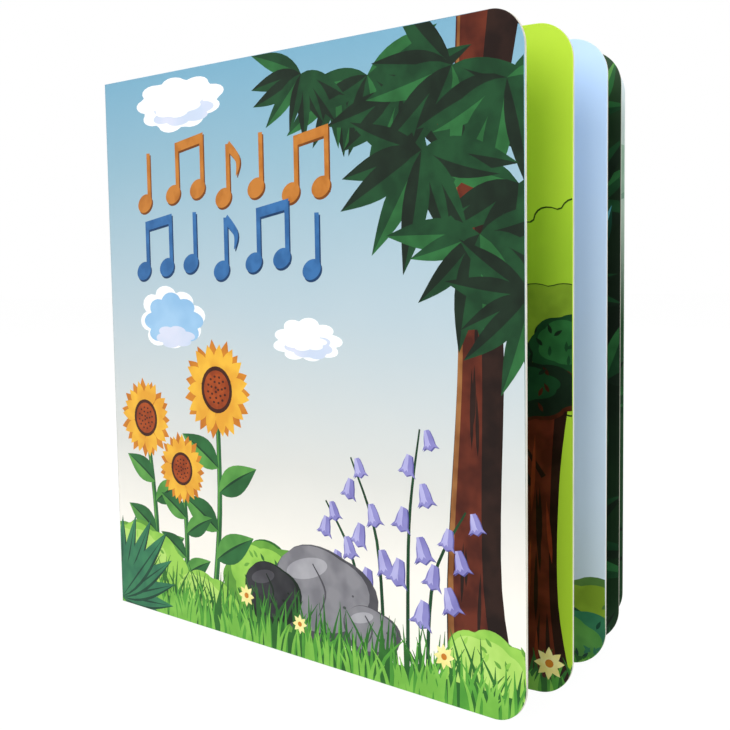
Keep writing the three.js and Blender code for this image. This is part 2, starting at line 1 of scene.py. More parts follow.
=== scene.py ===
# %% [markdown]
# # A children's sound book, standing with its leaves fanned
#
# The book is a stack of laminated boards: a front cover, three leaves glued together at the gutter,
# and a thick back block that hides a sound module behind five push buttons. The boards were printed,
# filmed, glued and then cut through in one stroke, so every face is glossy print and every edge is
# bare pale board. An image could carry the print, but this lesson lays it on as flat shapes that are
# cut into the board's own mesh: they stay sharp from near by, and they need no picture file.

import json
import math
import random

import bpy
from mathutils import Matrix, Vector, geometry


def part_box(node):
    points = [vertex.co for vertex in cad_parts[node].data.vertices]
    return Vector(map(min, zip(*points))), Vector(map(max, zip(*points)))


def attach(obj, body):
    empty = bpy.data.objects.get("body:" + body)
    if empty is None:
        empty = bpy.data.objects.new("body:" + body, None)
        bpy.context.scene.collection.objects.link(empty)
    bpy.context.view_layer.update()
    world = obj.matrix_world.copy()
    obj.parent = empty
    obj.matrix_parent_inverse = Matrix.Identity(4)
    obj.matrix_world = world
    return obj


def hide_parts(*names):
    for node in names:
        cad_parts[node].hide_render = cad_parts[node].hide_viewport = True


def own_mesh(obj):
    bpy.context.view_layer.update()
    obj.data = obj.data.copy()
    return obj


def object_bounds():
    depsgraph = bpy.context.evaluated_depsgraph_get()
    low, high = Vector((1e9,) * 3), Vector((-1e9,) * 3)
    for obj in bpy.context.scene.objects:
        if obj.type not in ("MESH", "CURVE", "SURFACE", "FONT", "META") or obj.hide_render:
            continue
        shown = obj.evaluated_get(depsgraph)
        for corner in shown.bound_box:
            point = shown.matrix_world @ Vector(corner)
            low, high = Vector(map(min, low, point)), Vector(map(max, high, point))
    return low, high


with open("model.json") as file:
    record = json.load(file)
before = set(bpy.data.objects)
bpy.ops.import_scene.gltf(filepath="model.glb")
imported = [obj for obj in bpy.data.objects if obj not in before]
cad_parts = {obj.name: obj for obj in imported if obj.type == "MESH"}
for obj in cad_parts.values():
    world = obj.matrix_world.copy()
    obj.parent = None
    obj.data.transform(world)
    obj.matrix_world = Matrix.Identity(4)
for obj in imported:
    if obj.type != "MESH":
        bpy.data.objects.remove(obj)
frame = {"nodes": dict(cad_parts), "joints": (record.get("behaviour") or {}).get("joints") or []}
cad_low, cad_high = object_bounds()
print("the frame measures", [round(1000 * (b - a), 1) for a, b in zip(cad_low, cad_high)], "mm")

# %% [markdown]
# ## Where the boards lie
#
# Each board is drawn flat, in millimetres: x runs from the fold to the fore edge, z is up, and y goes
# through the board from its front face. A matrix then turns it about its fold into its place in the
# fan. A board could be modelled where it stands, but print is easier to lay out on a flat one, and one
# function then makes them all. The folds and sizes are read from the frame's joints and boxes. The
# angles of the fan and the corners' radius, which no box tells, are those of the frame's solids.

# %% Board sizes and places, in millimetres
MM = 0.001
folds = {joint["name"]: [value / MM for value in joint["pos_m"][:2]]
         for joint in frame["joints"] if joint["type"] == "hinge"}
book_height = (cad_high.z - cad_low.z) / MM
fore_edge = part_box("page_board")[1].x / MM
page_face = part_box("page_board")[0].y / MM
foam_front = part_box("foam_frame")[0].y / MM
foam_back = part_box("foam_frame")[1].y / MM
board = foam_front - page_face
spine_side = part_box("spine_strip")[1].x / MM
block_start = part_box("page_board")[0].x / MM
front_fold = folds["front_fold"]
back_fold = folds["back_fold"]
front_face = front_fold[1]
back_face = back_fold[1]
cover_width = fore_edge - front_fold[0]
leaf_width = fore_edge - spine_side
corner_radius = 12
cover_angle = 30
leaf_angles = [22.2, 13.3, 6.3]


def board_place(x, y, angle):
    """Carries a board from its own flat drawing, in millimetres, to its place, in metres."""
    turn = Matrix.Rotation(math.radians(-angle), 4, "Z")
    return Matrix.Scale(MM, 4) @ Matrix.Translation((x, y, 0)) @ turn


cover_place = board_place(front_fold[0], front_face, cover_angle)
leaf_places = [board_place(spine_side, front_face + (i + 1) * board, angle)
               for i, angle in enumerate(leaf_angles)]
print("cover", round(cover_width, 2), "leaf", round(leaf_width, 2), "board", round(board, 2), "mm")

# %% [markdown]
# ## Finishes
#
# A material starts from what the real one is. Two small helpers carry the whole lesson: one turns a
# printed colour, written as sRGB hex, into the linear numbers that the shader wants, and one adds a
# shader node with its settings and its links.

# %% Two helpers for materials
def linear(hex_colour):
    """An sRGB hex colour as a linear RGBA, by the curve of the sRGB standard."""
    channels = [int(hex_colour[i:i + 2], 16) / 255 for i in (1, 3, 5)]
    straight = 0.04045
    return [c / 12.92 if c <= straight else ((c + 0.055) / 1.055) ** 2.4 for c in channels] + [1.0]


def add(tree, kind, inputs=None, **settings):
    """Adds a node. A socket given as an input is linked, and any other value is set."""
    node = tree.nodes.new(kind)
    for name, value in settings.items():
        setattr(node, name, value)
    for name, value in (inputs or {}).items():
        if isinstance(value, bpy.types.NodeSocket):
            tree.links.new(value, node.inputs[name])
        else:
            node.inputs[name].default_value = value
    return node


def start_material(name):
    """An empty material with its output, and the object coordinates that patterns read."""
    material = bpy.data.materials.new(name)
    material.use_nodes = True
    tree = material.node_tree
    tree.nodes.clear()
    output = add(tree, "ShaderNodeOutputMaterial")
    place = add(tree, "ShaderNodeTexCoord").outputs["Object"]
    return material, tree, output, place


def finish_material(tree, output, colour, bump, **surface):
    """Joins a colour, a bump and the other settings to a Principled shader."""
    inputs = {name.replace("_", " "): value for name, value in surface.items()}
    shader = add(tree, "ShaderNodeBsdfPrincipled", {"Base Color": colour, "Normal": bump, **inputs})
    tree.links.new(shader.outputs["BSDF"], output.inputs["Surface"])


print("a mid grey, #808080, is", round(linear("#808080")[0], 3), "in linear light")

# %% [markdown]
# ## Print under film
#
# The pictures are four-colour offset print on coated paper, mounted on board and covered with a thin
# gloss film. Ink has no thickness, so an ink differs from its neighbour by colour alone. Airbrushed
# artwork is never quite even: the grounds drift from one tone to the next between the foot of the page
# and its head, and a soft cloudiness, about a centimetre across in most inks, breaks up every ink. On
# the lime ground the lighter head is partly that drift and partly painted light from above. The film
# gives a broad, calm shine with a faint waviness where it was rolled on. A coat layer could stand for
# it, but film and ink lie so close that one gloss for both looks the same. It is set low, because the
# studio is white all round and a strong gloss would turn the dark inks grey.

# %% Printed inks
film_roughness = 0.3
film_gloss = 0.14
film_wave_mm = 2.5
film_wave_depth_mm = 0.004
cloudiness_mm = 9


def film_bump(tree, place):
    """The faint waviness of a rolled-on film."""
    wave = add(tree, "ShaderNodeTexNoise",
               {"Vector": place, "Scale": 1 / (film_wave_mm * MM), "Detail": 1.0})
    bump = add(tree, "ShaderNodeBump",
               {"Height": wave.outputs["Fac"], "Distance": film_wave_depth_mm * MM, "Strength": 0.5})
    return bump.outputs["Normal"]


def printed_ink(name, stops, cloudy=0.06, cloud_size=cloudiness_mm):
    """A print colour. stops lists (height up the page from 0 to 1, hex colour)."""
    material, tree, output, place = start_material("print_" + name)
    height = add(tree, "ShaderNodeSeparateXYZ", {"Vector": place}).outputs["Z"]
    cloud = add(tree, "ShaderNodeTexNoise",
                {"Vector": place, "Scale": 1 / (cloud_size * MM), "Detail": 2.0}).outputs["Fac"]
    level = add(tree, "ShaderNodeMath", {0: height, 1: 1 / (book_height * MM)},
                operation="MULTIPLY").outputs[0]
    drift = add(tree, "ShaderNodeMath", {0: cloud, 1: cloudy * 2, 2: -cloudy},
                operation="MULTIPLY_ADD").outputs[0]
    where = add(tree, "ShaderNodeMath", {0: level, 1: drift}, operation="ADD").outputs[0]
    ramp = add(tree, "ShaderNodeValToRGB", {"Fac": where})
    elements = ramp.color_ramp.elements
    elements[0].position, elements[0].color = stops[0][0], linear(stops[0][1])
    elements[1].position, elements[1].color = stops[-1][0], linear(stops[-1][1])
    for position, colour in stops[1:-1]:
        elements.new(position).color = linear(colour)
    finish_material(tree, output, ramp.outputs["Color"], film_bump(tree, place),
                    Roughness=film_roughness, Specular_IOR_Level=film_gloss)
    return material


def flat_ink(name, colour, darker, spread=1.0):
    """A print colour that wanders between two tones over the whole page."""
    material, tree, output, place = start_material("print_" + name)
    cloud = add(tree, "ShaderNodeTexNoise",
                {"Vector": place, "Scale": 1 / (cloudiness_mm * spread * MM), "Detail": 2.0})
    tones = add(tree, "ShaderNodeMapRange",
                {"Value": cloud.outputs["Fac"], "From Min": 0.38, "From Max": 0.62})
    mix = add(tree, "ShaderNodeMix", {"Factor": tones.outputs[0], "A": linear(darker),
                                      "B": linear(colour)}, data_type="RGBA")
    finish_material(tree, output, mix.outputs["Result"], film_bump(tree, place),
                    Roughness=film_roughness, Specular_IOR_Level=film_gloss)
    return material


inks = {
    "sky": printed_ink("sky", [(0.0, "#F8F4EB"), (0.17, "#F4F0E8"), (0.32, "#D8D9D5"),
                               (0.58, "#B5C7D0"), (0.83, "#90B4C5"), (1.0, "#77A8C1")], 0.02, 40),
    # lime: lighter towards the head, partly the print's own drift and partly painted light from above
    "lime": printed_ink("lime", [(0.0, "#A6CE34"), (0.5, "#B0D63C"), (1.0, "#BFE044")], 0.05, 30),
    "lime_deep": printed_ink("lime_deep", [(0.0, "#9CC430"), (0.62, "#A2CA36"), (0.8, "#B4DA3E")], 0.05),
    "pale_blue": printed_ink("pale_blue", [(0.0, "#D6E4EE"), (0.5, "#CADCEA"), (1.0, "#C4E0FF")],
                             0.04, 30),
    "night": printed_ink("night", [(0.0, "#1C3A20"), (0.5, "#101A12"), (0.85, "#1A2E1C"),
                                   (1.0, "#2A4A2A")], 0.1),
    "mist": printed_ink("mist", [(0.0, "#27482C"), (0.55, "#2F5636"), (0.74, "#BFD3C4"),
                                 (1.0, "#DCE6EC")], 0.04, 30),
}
two_tones = {
    # name: (tone, darker tone, and how broad its clouds are where they aren't the usual size)
    "contour": ("#35501E", "#2A4218"),
    "bark": ("#652C1C", "#471C12"),
    "bark_dark": ("#2C1A14", "#1D100C"),
    "bark_light": ("#9C6A3C", "#7A4A26"),
    "bark_red": ("#8A3C22", "#6A2A16"),
    "leaf_dark": ("#1F4A2B", "#173A22"),
    "leaf_deep": ("#1A2B1E", "#142117"),
    "leaf_mid": ("#2F6B3A", "#265A30"),
    "leaf_light": ("#5F9E4A", "#4C8A3E"),
    "teal": ("#3A7F58", "#2F6E50"),
    "teal_dark": ("#1D4A38", "#173C2E"),
    "olive": ("#8CAC34", "#7A982C"),
    "moss": ("#5C8440", "#4E7438"),
    "bush": ("#9CCF58", "#86BF4A"),
    "bush_light": ("#B6DD72", "#A6D262"),
    "bush_dark": ("#6BA640", "#5B9438"),
    "grass": ("#5CA53E", "#4A9236"),
    "grass_light": ("#86C452", "#74B446"),
    "grass_dark": ("#33702C", "#285E26"),
    "amber": ("#EDB83E", "#E0A034"),
    "amber_dark": ("#D0842A", "#BE7024"),
    "purple": ("#8F8CC8", "#7C78B8"),
    "purple_dark": ("#5F5C9C", "#524F8C"),
    "purple_light": ("#B4B2E0", "#A6A3D6"),
    "stone": ("#8A898F", "#76757C"),
    "stone_dark": ("#55545A", "#45444A"),
    "stone_light": ("#ABAAB0", "#9A99A0"),
    "slate": ("#38383C", "#2A2A2E"),
    "note_orange_dark": ("#7A4518", "#6A3A14"),
    "note_blue_dark": ("#1D3E66", "#183558"),
    "far_wood": ("#8FB09C", "#82A490"),
    "far_crown": ("#A9C6B2", "#9ABAA6"),
    "far_light": ("#BCD4C2", "#AECAB6"),
    "cloud": ("#FDFDFD", "#F1F3F8", 1.5),
    "cloud_shade": ("#D5DAEC", "#C6D3E8", 1.5),
    "cloud_blue": ("#9FC6E6", "#8DB9DE", 1.5),
    "rust": ("#A64A1C", "#8C3A16", 0.5),
    "umber": ("#4A2414", "#3A1A10", 0.5),
    "note_orange": ("#BF7A34", "#AE6A28", 0.6),
    "note_blue": ("#3A6EA6", "#2F5F94", 0.6),
    "petal": ("#F6EFA8", "#EFE28A", 0.5),
    "cyan": ("#6FB7C4", "#5AA4B2", 0.6),
}
for name, tones in two_tones.items():
    inks[name] = flat_ink(name, *tones)
print(len(inks), "printed inks")

# %% [markdown]
# ## Bare board
#
# The cut edge shows the core: grey-cream recycled board, made of thin plies rolled together. The
# guillotine leaves faint lines along the plies. They are about 0.3 mm apart, which is under a pixel
# here, so they are drawn a little coarser and read as a soft unevenness. Noise that is stretched along
# the height does this without a ply being modelled.

# %% Cut edge
ply_mm = 0.45
fibre_mm = 7


def cut_edge():
    material, tree, output, place = start_material("cut_edge_of_board")
    stretched = add(tree, "ShaderNodeMapping", {
        "Vector": place,
        "Scale": (1 / (ply_mm * MM), 1 / (ply_mm * MM), 1 / (fibre_mm * MM)),
    })
    fibres = add(tree, "ShaderNodeTexNoise",
                 {"Vector": stretched.outputs["Vector"], "Scale": 1.0, "Detail": 3.0})
    tones = add(tree, "ShaderNodeMapRange",
                {"Value": fibres.outputs["Fac"], "From Min": 0.3, "From Max": 0.7})
    mix = add(tree, "ShaderNodeMix", {"Factor": tones.outputs[0], "A": linear("#C6C2B2"),
                                      "B": linear("#E8E5DA")}, data_type="RGBA")
    bump = add(tree, "ShaderNodeBump", {"Height": fibres.outputs["Fac"], "Distance": 0.03 * MM})
    finish_material(tree, output, mix.outputs["Result"], bump.outputs["Normal"], Roughness=0.8)
    return material


inks["edge"] = cut_edge()
print("plies", ply_mm, "mm apart")

# %% [markdown]
# ## Foam, plastic, metal and rubber
#
# The back block holds a spacer of white closed-cell foam, whose cut face shows burst cells well under a
# millimetre across. The sound module is moulded in black ABS with a fine spark texture, its metal parts
# are nickel-plated or zinc-plated steel with a faint grain, and its return domes are cloudy silicone.
# A hard edge is never quite sharp, so the moulded and metal finishes round their edges by a tenth of a
# millimetre or so. A modifier could round the meshes, but most of these parts are the frame's own
# solids, so it is done in the shading.

# %% Foam
foam_cell_mm = 0.5


def closed_cell_foam():
    material, tree, output, place = start_material("white_closed_cell_foam")
    cells = add(tree, "ShaderNodeTexVoronoi", {"Vector": place, "Scale": 1 / (foam_cell_mm * MM)})
    tones = add(tree, "ShaderNodeMix", {"Factor": cells.outputs["Distance"], "A": linear("#DFE0DC"),
                                        "B": linear("#F6F6F3")}, data_type="RGBA")
    bump = add(tree, "ShaderNodeBump", {"Height": cells.outputs["Distance"], "Distance": 0.08 * MM,
                                        "Strength": 0.6})
    finish_material(tree, output, tones.outputs["Result"], bump.outputs["Normal"], Roughness=0.85,
                    Subsurface_Weight=0.15, Subsurface_Scale=1.5 * MM)
    return material


inks["foam"] = closed_cell_foam()
print("foam cells", foam_cell_mm, "mm across")


# %% Moulded, metal and soft parts
patch_mm = 12
roughness_spread = 0.06


def grained(name, dark, light, grain_mm, depth_mm, roughness, bevel_mm=0.12, stretch=(1, 1, 1),
            **surface):
    """A surface whose colour, roughness and height all follow one fine grain."""
    material, tree, output, place = start_material(name)
    scale = [1 / (grain_mm * MM * s) for s in stretch]
    placed = add(tree, "ShaderNodeMapping", {"Vector": place, "Scale": scale})
    grain = add(tree, "ShaderNodeTexNoise",
                {"Vector": placed.outputs["Vector"], "Scale": 1.0, "Detail": 2.0}).outputs["Fac"]
    patch = add(tree, "ShaderNodeTexNoise",
                {"Vector": place, "Scale": 1 / (patch_mm * MM)}).outputs["Fac"]
    blend = add(tree, "ShaderNodeMath", {0: grain, 1: patch}, operation="MULTIPLY").outputs[0]
    tone = add(tree, "ShaderNodeMapRange", {"Value": blend, "From Min": 0.15, "From Max": 0.38})
    mix = add(tree, "ShaderNodeMix", {"Factor": tone.outputs[0], "A": linear(dark),
                                      "B": linear(light)}, data_type="RGBA")
    rough = add(tree, "ShaderNodeMapRange", {"Value": grain, "From Min": 0.3, "From Max": 0.7,
                                             "To Min": roughness - roughness_spread,
                                             "To Max": roughness + roughness_spread})
    soft_edge = add(tree, "ShaderNodeBevel", {"Radius": bevel_mm * MM}, samples=4)
    bump = add(tree, "ShaderNodeBump", {"Height": grain, "Distance": depth_mm * MM, "Strength": 0.7,
                                        "Normal": soft_edge.outputs["Normal"]})
    finish_material(tree, output, mix.outputs["Result"], bump.outputs["Normal"],
                    Roughness=rough.outputs[0], **surface)
    return material


track_mm = 9


def solder_mask():
    """Green lacquer over copper: the tracks stand out a little paler along the board."""
    material, tree, output, place = start_material("solder_mask_on_glass_laminate")
    tracks = add(tree, "ShaderNodeTexBrick", {
        "Vector": place, "Color1": linear("#1F7A42"), "Color2": linear("#1B6B3A"),
        "Mortar": linear("#2E9A58"), "Scale": 1 / (track_mm * MM), "Mortar Size": 0.03,
    })
    bump = add(tree, "ShaderNodeBump", {"Height": tracks.outputs["Fac"], "Distance": 0.03 * MM})
    finish_material(tree, output, tracks.outputs["Color"], bump.outputs["Normal"], Roughness=0.35)
    return material


brushed = (1, 1, 12)
black_abs = grained("black_abs_spark_textured", "#1B1C1F", "#2A2B2F", 0.3, 0.012, 0.5)
nickel = grained("nickel_plated_steel", "#A9ABAE", "#C9CACC", 0.12, 0.004, 0.27, 0.08, brushed,
                 Metallic=1.0)
zinc = grained("zinc_plated_magnet", "#55575B", "#6E7074", 0.3, 0.006, 0.4, Metallic=1.0)
silicone = grained("cloudy_silicone", "#CFCFCB", "#E0E0DC", 0.8, 0.01, 0.5,
                   Subsurface_Weight=0.4, Subsurface_Scale=1.0 * MM)
epoxy = grained("black_epoxy_drop", "#0C0C0D", "#17171A", 1.6, 0.05, 0.22)
polyester = grained("black_polyester_film", "#26262A", "#3A3A40", 0.5, 0.01, 0.35)
red_pvc = grained("red_pvc_insulation", "#A81E1E", "#C02A26", 0.4, 0.01, 0.4)
black_pvc = grained("black_pvc_insulation", "#121214", "#1F1F22", 0.4, 0.01, 0.4)
dressed = {
    "module_lid": black_abs, "module_tray": black_abs, "battery_door": black_abs,
    "circuit_board": solder_mask(), "sound_chip": epoxy, "speaker_frame": nickel,
    "speaker_cone": polyester, "speaker_magnet": zinc, "speaker_wire_red": red_pvc,
    "speaker_wire_black": black_pvc, "contact": nickel, "door_screw": nickel, "lid_screw": nickel,
    "button_cell": nickel,
}
for start, material in dressed.items():
    for name, node in frame["nodes"].items():
        if name.startswith(start):
            for holder in node.material_slots:
                holder.material = material
print(len(dressed), "kinds of part in the sound module have their finish")

# %% [markdown]
# ## Shapes for the print
#
# Every motif is a closed outline in millimetres on the page, as the reader sees it, with x to the
# right and y up. Few kinds are needed: ovals, scalloped ovals for clouds and bushes, pointed leaves,
# and ribbons that follow a curve for trunks, stems and strokes. They could be curve objects, but plain
# lists of points are enough, since all they do is say where one ink ends and the next begins.

# %% Outline helpers
def turned(points, angle, x=0.0, y=0.0):
    """Turns points by an angle in degrees and then moves them."""
    c, s = math.cos(math.radians(angle)), math.sin(math.radians(angle))
    return [(x + c * px - s * py, y + s * px + c * py) for px, py in points]


def oval(x, y, wide, high, angle=0.0, steps=28):
    points = [(wide / 2 * math.cos(2 * math.pi * i / steps),
               high / 2 * math.sin(2 * math.pi * i / steps)) for i in range(steps)]
    return turned(points, angle, x, y)


def scalloped(x, y, wide, high, bumps, depth=0.12, phase=0.0, steps_per_bump=7):
    """An oval whose outline swells in round bumps."""
    points = []
    steps = bumps * steps_per_bump
    for i in range(steps):
        t = 2 * math.pi * i / steps
        swell = abs(math.sin(bumps * t / 2 + phase)) ** 0.7
        uneven = 1 + 0.05 * math.sin(3 * t + 2 * phase)
        reach = (1 - depth + depth * swell) * uneven
        points.append((x + wide / 2 * reach * math.cos(t), y + high / 2 * reach * math.sin(t)))
    return points


def along(controls, steps=6):
    """A smooth line through the control points."""
    ends = [controls[0]] + list(controls) + [controls[-1]]
    points = []
    for i in range(1, len(ends) - 2):
        before, start, end, after = (Vector(p) for p in ends[i - 1:i + 3])
        for k in range(steps):
            t = k / steps
            points.append(0.5 * (2 * start + (end - before) * t
                                 + (2 * before - 5 * start + 4 * end - after) * t * t
                                 + (3 * start - before - 3 * end + after) * t ** 3))
    return points + [Vector(controls[-1])]


def ribbon(controls, steps=6):
    """A band that follows (x, y, width) controls."""
    line = along(controls, steps)
    left, right = [], []
    for i, point in enumerate(line):
        ahead = line[min(i + 1, len(line) - 1)] - line[max(i - 1, 0)]
        across = Vector((-ahead.y, ahead.x)).normalized() * point.z / 2
        left.append((point.x + across.x, point.y + across.y))
        right.append((point.x - across.x, point.y - across.y))
    return right + left[::-1]


def leaf(x, y, length, wide, angle, bend=0.0, steps=9, part="whole"):
    """A pointed leaf from its stalk at (x, y). part keeps the whole, or the half over its midrib."""
    upper, lower = [], []
    for i in range(steps + 1):
        t = i / steps
        half = wide / 2 * math.sin(math.pi * t ** 0.8)
        middle = bend * length * t * t
        upper.append((t * length, middle + half))
        lower.append((t * length, middle - half))
    if part == "half":
        lower = [(px, (pu[1] + py) / 2) for pu, (px, py) in zip(upper, lower)]
    return turned(lower + upper[-2:0:-1], angle, x, y)


print("a cloud's outline has", len(scalloped(0, 0, 50, 20, 9)), "points")

# %% [markdown]
# ## Motifs
#
# A motif is a list of (ink, outline) from the back to the front. Later shapes cover earlier ones, as
# gouache would. Each takes the random generator of its page, so that a page prints the same each time.

# %% Sky and stone motifs
def cloud(x, y, wide, high, phase=0.3):
    return [
        ("cloud", scalloped(x, y, wide, high, 9, 0.2, phase)),
        ("cloud_shade", scalloped(x + wide * 0.04, y - high * 0.14, wide * 0.7, high * 0.56, 7, 0.2,
                                  phase + 1)),
        ("cloud", scalloped(x - wide * 0.02, y - high * 0.02, wide * 0.62, high * 0.46, 7, 0.2, phase)),
    ]


def blue_cloud(x, y, wide, high, phase=0.3):
    return [
        ("cloud", scalloped(x, y, wide, high, 8, 0.18, phase)),
        ("cloud_blue", scalloped(x + 1.2, y - 0.8, wide * 0.9, high * 0.84, 8, 0.2, phase + 0.5)),
        ("cloud_shade", scalloped(x + 2, y - high * 0.3, wide * 0.6, high * 0.36, 6, 0.2, phase)),
    ]


def boulder(x, y, wide, high, tone="stone"):
    light, dark = ("stone_light", "stone_dark") if tone == "stone" else ("stone_dark", "leaf_deep")
    crack = [(x - wide * 0.1, y + high * 0.3, 0.5), (x + wide * 0.02, y + high * 0.05, 0.9),
             (x - wide * 0.05, y - high * 0.2, 0.3)]
    return [
        (dark, scalloped(x, y, wide, high, 5, 0.05, 0.4)),
        (tone, scalloped(x - wide * 0.03, y + high * 0.06, wide * 0.9, high * 0.84, 5, 0.05, 0.5)),
        (light, oval(x - wide * 0.16, y + high * 0.24, wide * 0.42, high * 0.2, 16)),
        (dark, ribbon(crack)),
        (dark, oval(x + wide * 0.2, y - high * 0.05, 1.6, 1.0)),
        (dark, oval(x + wide * 0.28, y + high * 0.08, 1.0, 0.8)),
    ]


print("a cloud is", len(cloud(0, 0, 50, 20)), "shapes")


# %% Leafy motifs
def two_tone_leaf(x, y, length, wide, angle, bend, dark, light, rib=None):
    shapes = [(dark, leaf(x, y, length, wide, angle, bend)),
              (light, leaf(x, y, length, wide, angle, bend, part="half"))]
    if rib:
        shapes.append((rib, leaf(x, y, length * 0.95, 0.9, angle, bend)))
    return shapes


def leaf_cluster(x, y, size, count, spread, facing, rng, tones):
    """Leaves that hang round a twig end, the outer ones first."""
    shapes = []
    order = sorted(range(count), key=lambda i: -abs(i - (count - 1) / 2))
    for i in order:
        angle = facing + spread * (i / (count - 1) - 0.5) + rng.uniform(-5, 5)
        length = size * rng.uniform(0.8, 1.1)
        dark, light = tones[rng.randrange(len(tones))]
        shapes += two_tone_leaf(x, y, length, length * 0.27, angle, rng.uniform(-0.15, 0.15),
                                dark, light)
    return shapes


def bush(x, y, wide, high, rng, tones=("bush", "bush_light", "bush_dark")):
    mid, light, dark = tones
    shapes = [
        (dark, scalloped(x, y, wide, high, 9, 0.1, rng.random())),
        (mid, scalloped(x - 0.6, y + 0.8, wide * 0.95, high * 0.95, 9, 0.1, rng.random())),
        (light, scalloped(x - wide * 0.08, y + high * 0.12, wide * 0.66, high * 0.62, 7, 0.1,
                          rng.random())),
    ]
    for _ in range(int(wide * high / 60)):
        px, py = x + rng.uniform(-0.36, 0.36) * wide, y + rng.uniform(-0.36, 0.36) * high
        shapes.append((rng.choice([mid, dark]), leaf(px, py, 3.4, 1.3, rng.uniform(20, 160), 0, 5)))
    return shapes


def fan_leaf(x, y, length, first, last, count, rng):
    """Long pointed fingers that spread from one stalk, each with a dark midrib."""
    shapes = []
    order = sorted(range(count), key=lambda i: -abs(i - (count - 1) / 2))
    for i in order:
        angle = first + (last - first) * i / (count - 1)
        reach = length * (1 - 0.25 * abs(2 * i / (count - 1) - 1)) * rng.uniform(0.94, 1.04)
        shapes += two_tone_leaf(x, y, reach, reach * 0.2, angle, 0.0, "teal_dark", "teal")
        shapes.append(("teal", leaf(x, y, reach * 0.97, reach * 0.14, angle)))
        shapes.append(("teal_dark", leaf(x, y, reach * 0.92, 0.8, angle, 0, 5)))
    return shapes


def grass_band(width, height, count, rng, tones=("grass_dark", "grass", "grass_light")):
    """Rows of blades, the darker and taller rows behind. They stand a little below the page's foot."""
    foot = -2
    shapes = [(tones[0], [(-2, foot), (width + 2, foot), (width + 2, height * 0.3),
                          (-2, height * 0.3)])]
    for row, tone in enumerate(tones):
        reach = height * (1.0 - 0.22 * row)
        for _ in range(count):
            x = rng.uniform(-3, width + 3)
            tall = reach * rng.uniform(0.55, 1.0)
            lean = rng.gauss(0, 0.28)
            tip = (x + lean * tall, foot + tall, 0.15)
            middle = (x + lean * tall * 0.35, foot + tall * 0.55, 1.3)
            shapes.append((tone, ribbon([(x, foot, 1.7), middle, tip], 3)))
    return shapes


print("a fan leaf is", len(fan_leaf(0, 0, 44, -10, 100, 9, random.Random(1))), "shapes")


# %% Flower motifs
def sunflower(x, y, radius, rng):
    shapes = []
    petals = 15
    for layer, (ink, reach) in enumerate((("amber_dark", 1.0), ("amber", 0.92))):
        for i in range(petals):
            angle = 360 * (i + layer / 2) / petals + rng.uniform(-4, 4)
            start = turned([(radius * 0.36, 0)], angle, x, y)[0]
            length = radius * 0.64 * reach * rng.uniform(0.92, 1.05)
            shapes.append((ink, leaf(*start, length, radius * 0.3, angle, 0, 6)))
    shapes += [("umber", oval(x, y, radius * 0.92, radius * 0.92)),
               ("rust", oval(x, y, radius * 0.76, radius * 0.76))]
    for ring, seeds in ((0.26, 12), (0.16, 7), (0.05, 3)):
        for i in range(seeds):
            px, py = turned([(radius * ring, 0)], 360 * i / seeds + 40 * ring, x, y)[0]
            shapes.append(("umber", oval(px, py, radius * 0.07, radius * 0.05, 0, 8)))
    return shapes


def tall_flower(foot_x, x, y, radius, rng):
    """A sunflower on its stem, with heart-like leaves in pairs."""
    middle = ((foot_x + x) / 2 + 3, y * 0.5)
    shapes = [("leaf_mid", ribbon([(foot_x, 0, 3.4), (*middle, 2.8), (x, y, 2.4)])),
              ("leaf_light", ribbon([(foot_x - 0.6, 0, 0.9), (middle[0] - 0.6, middle[1], 0.8),
                                     (x - 0.4, y, 0.6)]))]
    for share, side in ((0.3, 1), (0.42, -1), (0.58, 1), (0.68, -1)):
        px = foot_x + (middle[0] - foot_x) * min(1, 2 * share)
        angle = 35 if side > 0 else 145
        shapes += two_tone_leaf(px, y * share, radius * 1.25, radius * 0.6, angle, -0.12 * side,
                                "leaf_mid", "leaf_light", "leaf_dark")
    return shapes + sunflower(x, y, radius, rng)


def bellflower(x, foot, height, lean):
    """A leaning stem with purple bells down one side."""
    top = (x + lean, foot + height)
    shapes = [("leaf_dark", ribbon([(x, foot, 1.6), (x + lean * 0.2, foot + height * 0.6, 1.3),
                                    (*top, 0.7)]))]
    bells = 6
    for i in range(bells):
        t = 0.45 + 0.55 * i / (bells - 1)
        side = 1 if i % 2 else -1
        size = 9.5 * (1.15 - 0.5 * t)
        bx, by = x + lean * t * t + side * size * 0.45, foot + height * t
        outline = [(-0.16, 0), (-0.3, -0.4), (-0.36, -0.75), (-0.55, -1.0), (-0.28, -0.9),
                   (0, -1.06), (0.28, -0.9), (0.55, -1.0), (0.36, -0.75), (0.3, -0.4), (0.16, 0)]
        bell = turned([(size * px, size * py) for px, py in outline], side * 14, bx, by)
        shine = turned([(size * px * 0.4 - 0.12 * size, size * py * 0.85) for px, py in outline],
                       side * 14, bx, by)
        shapes += [("purple_dark", [(px + 0.5, py - 0.3) for px, py in bell]), ("purple", bell),
                   ("purple_light", shine)]
    return shapes


def daisy(x, y, radius, rng, petals=8):
    shapes = []
    for i in range(petals):
        angle = 360 * i / petals + rng.uniform(-5, 5)
        shapes.append(("petal", leaf(x, y, radius, radius * 0.5, angle, 0, 6)))
    return shapes + [("amber_dark", oval(x, y, radius * 0.55, radius * 0.5, 0, 14))]


print("a sunflower is", len(sunflower(0, 0, 19, random.Random(1))), "shapes")

# %% [markdown]
# ## Two rows of notes
#
# The cover's heading is a line of orange notes over a line of blue ones. Each note is printed with a
# dark edge to its lower right, which makes it look raised. The edge is the note's own shape in a darker
# ink, moved by less than a millimetre.

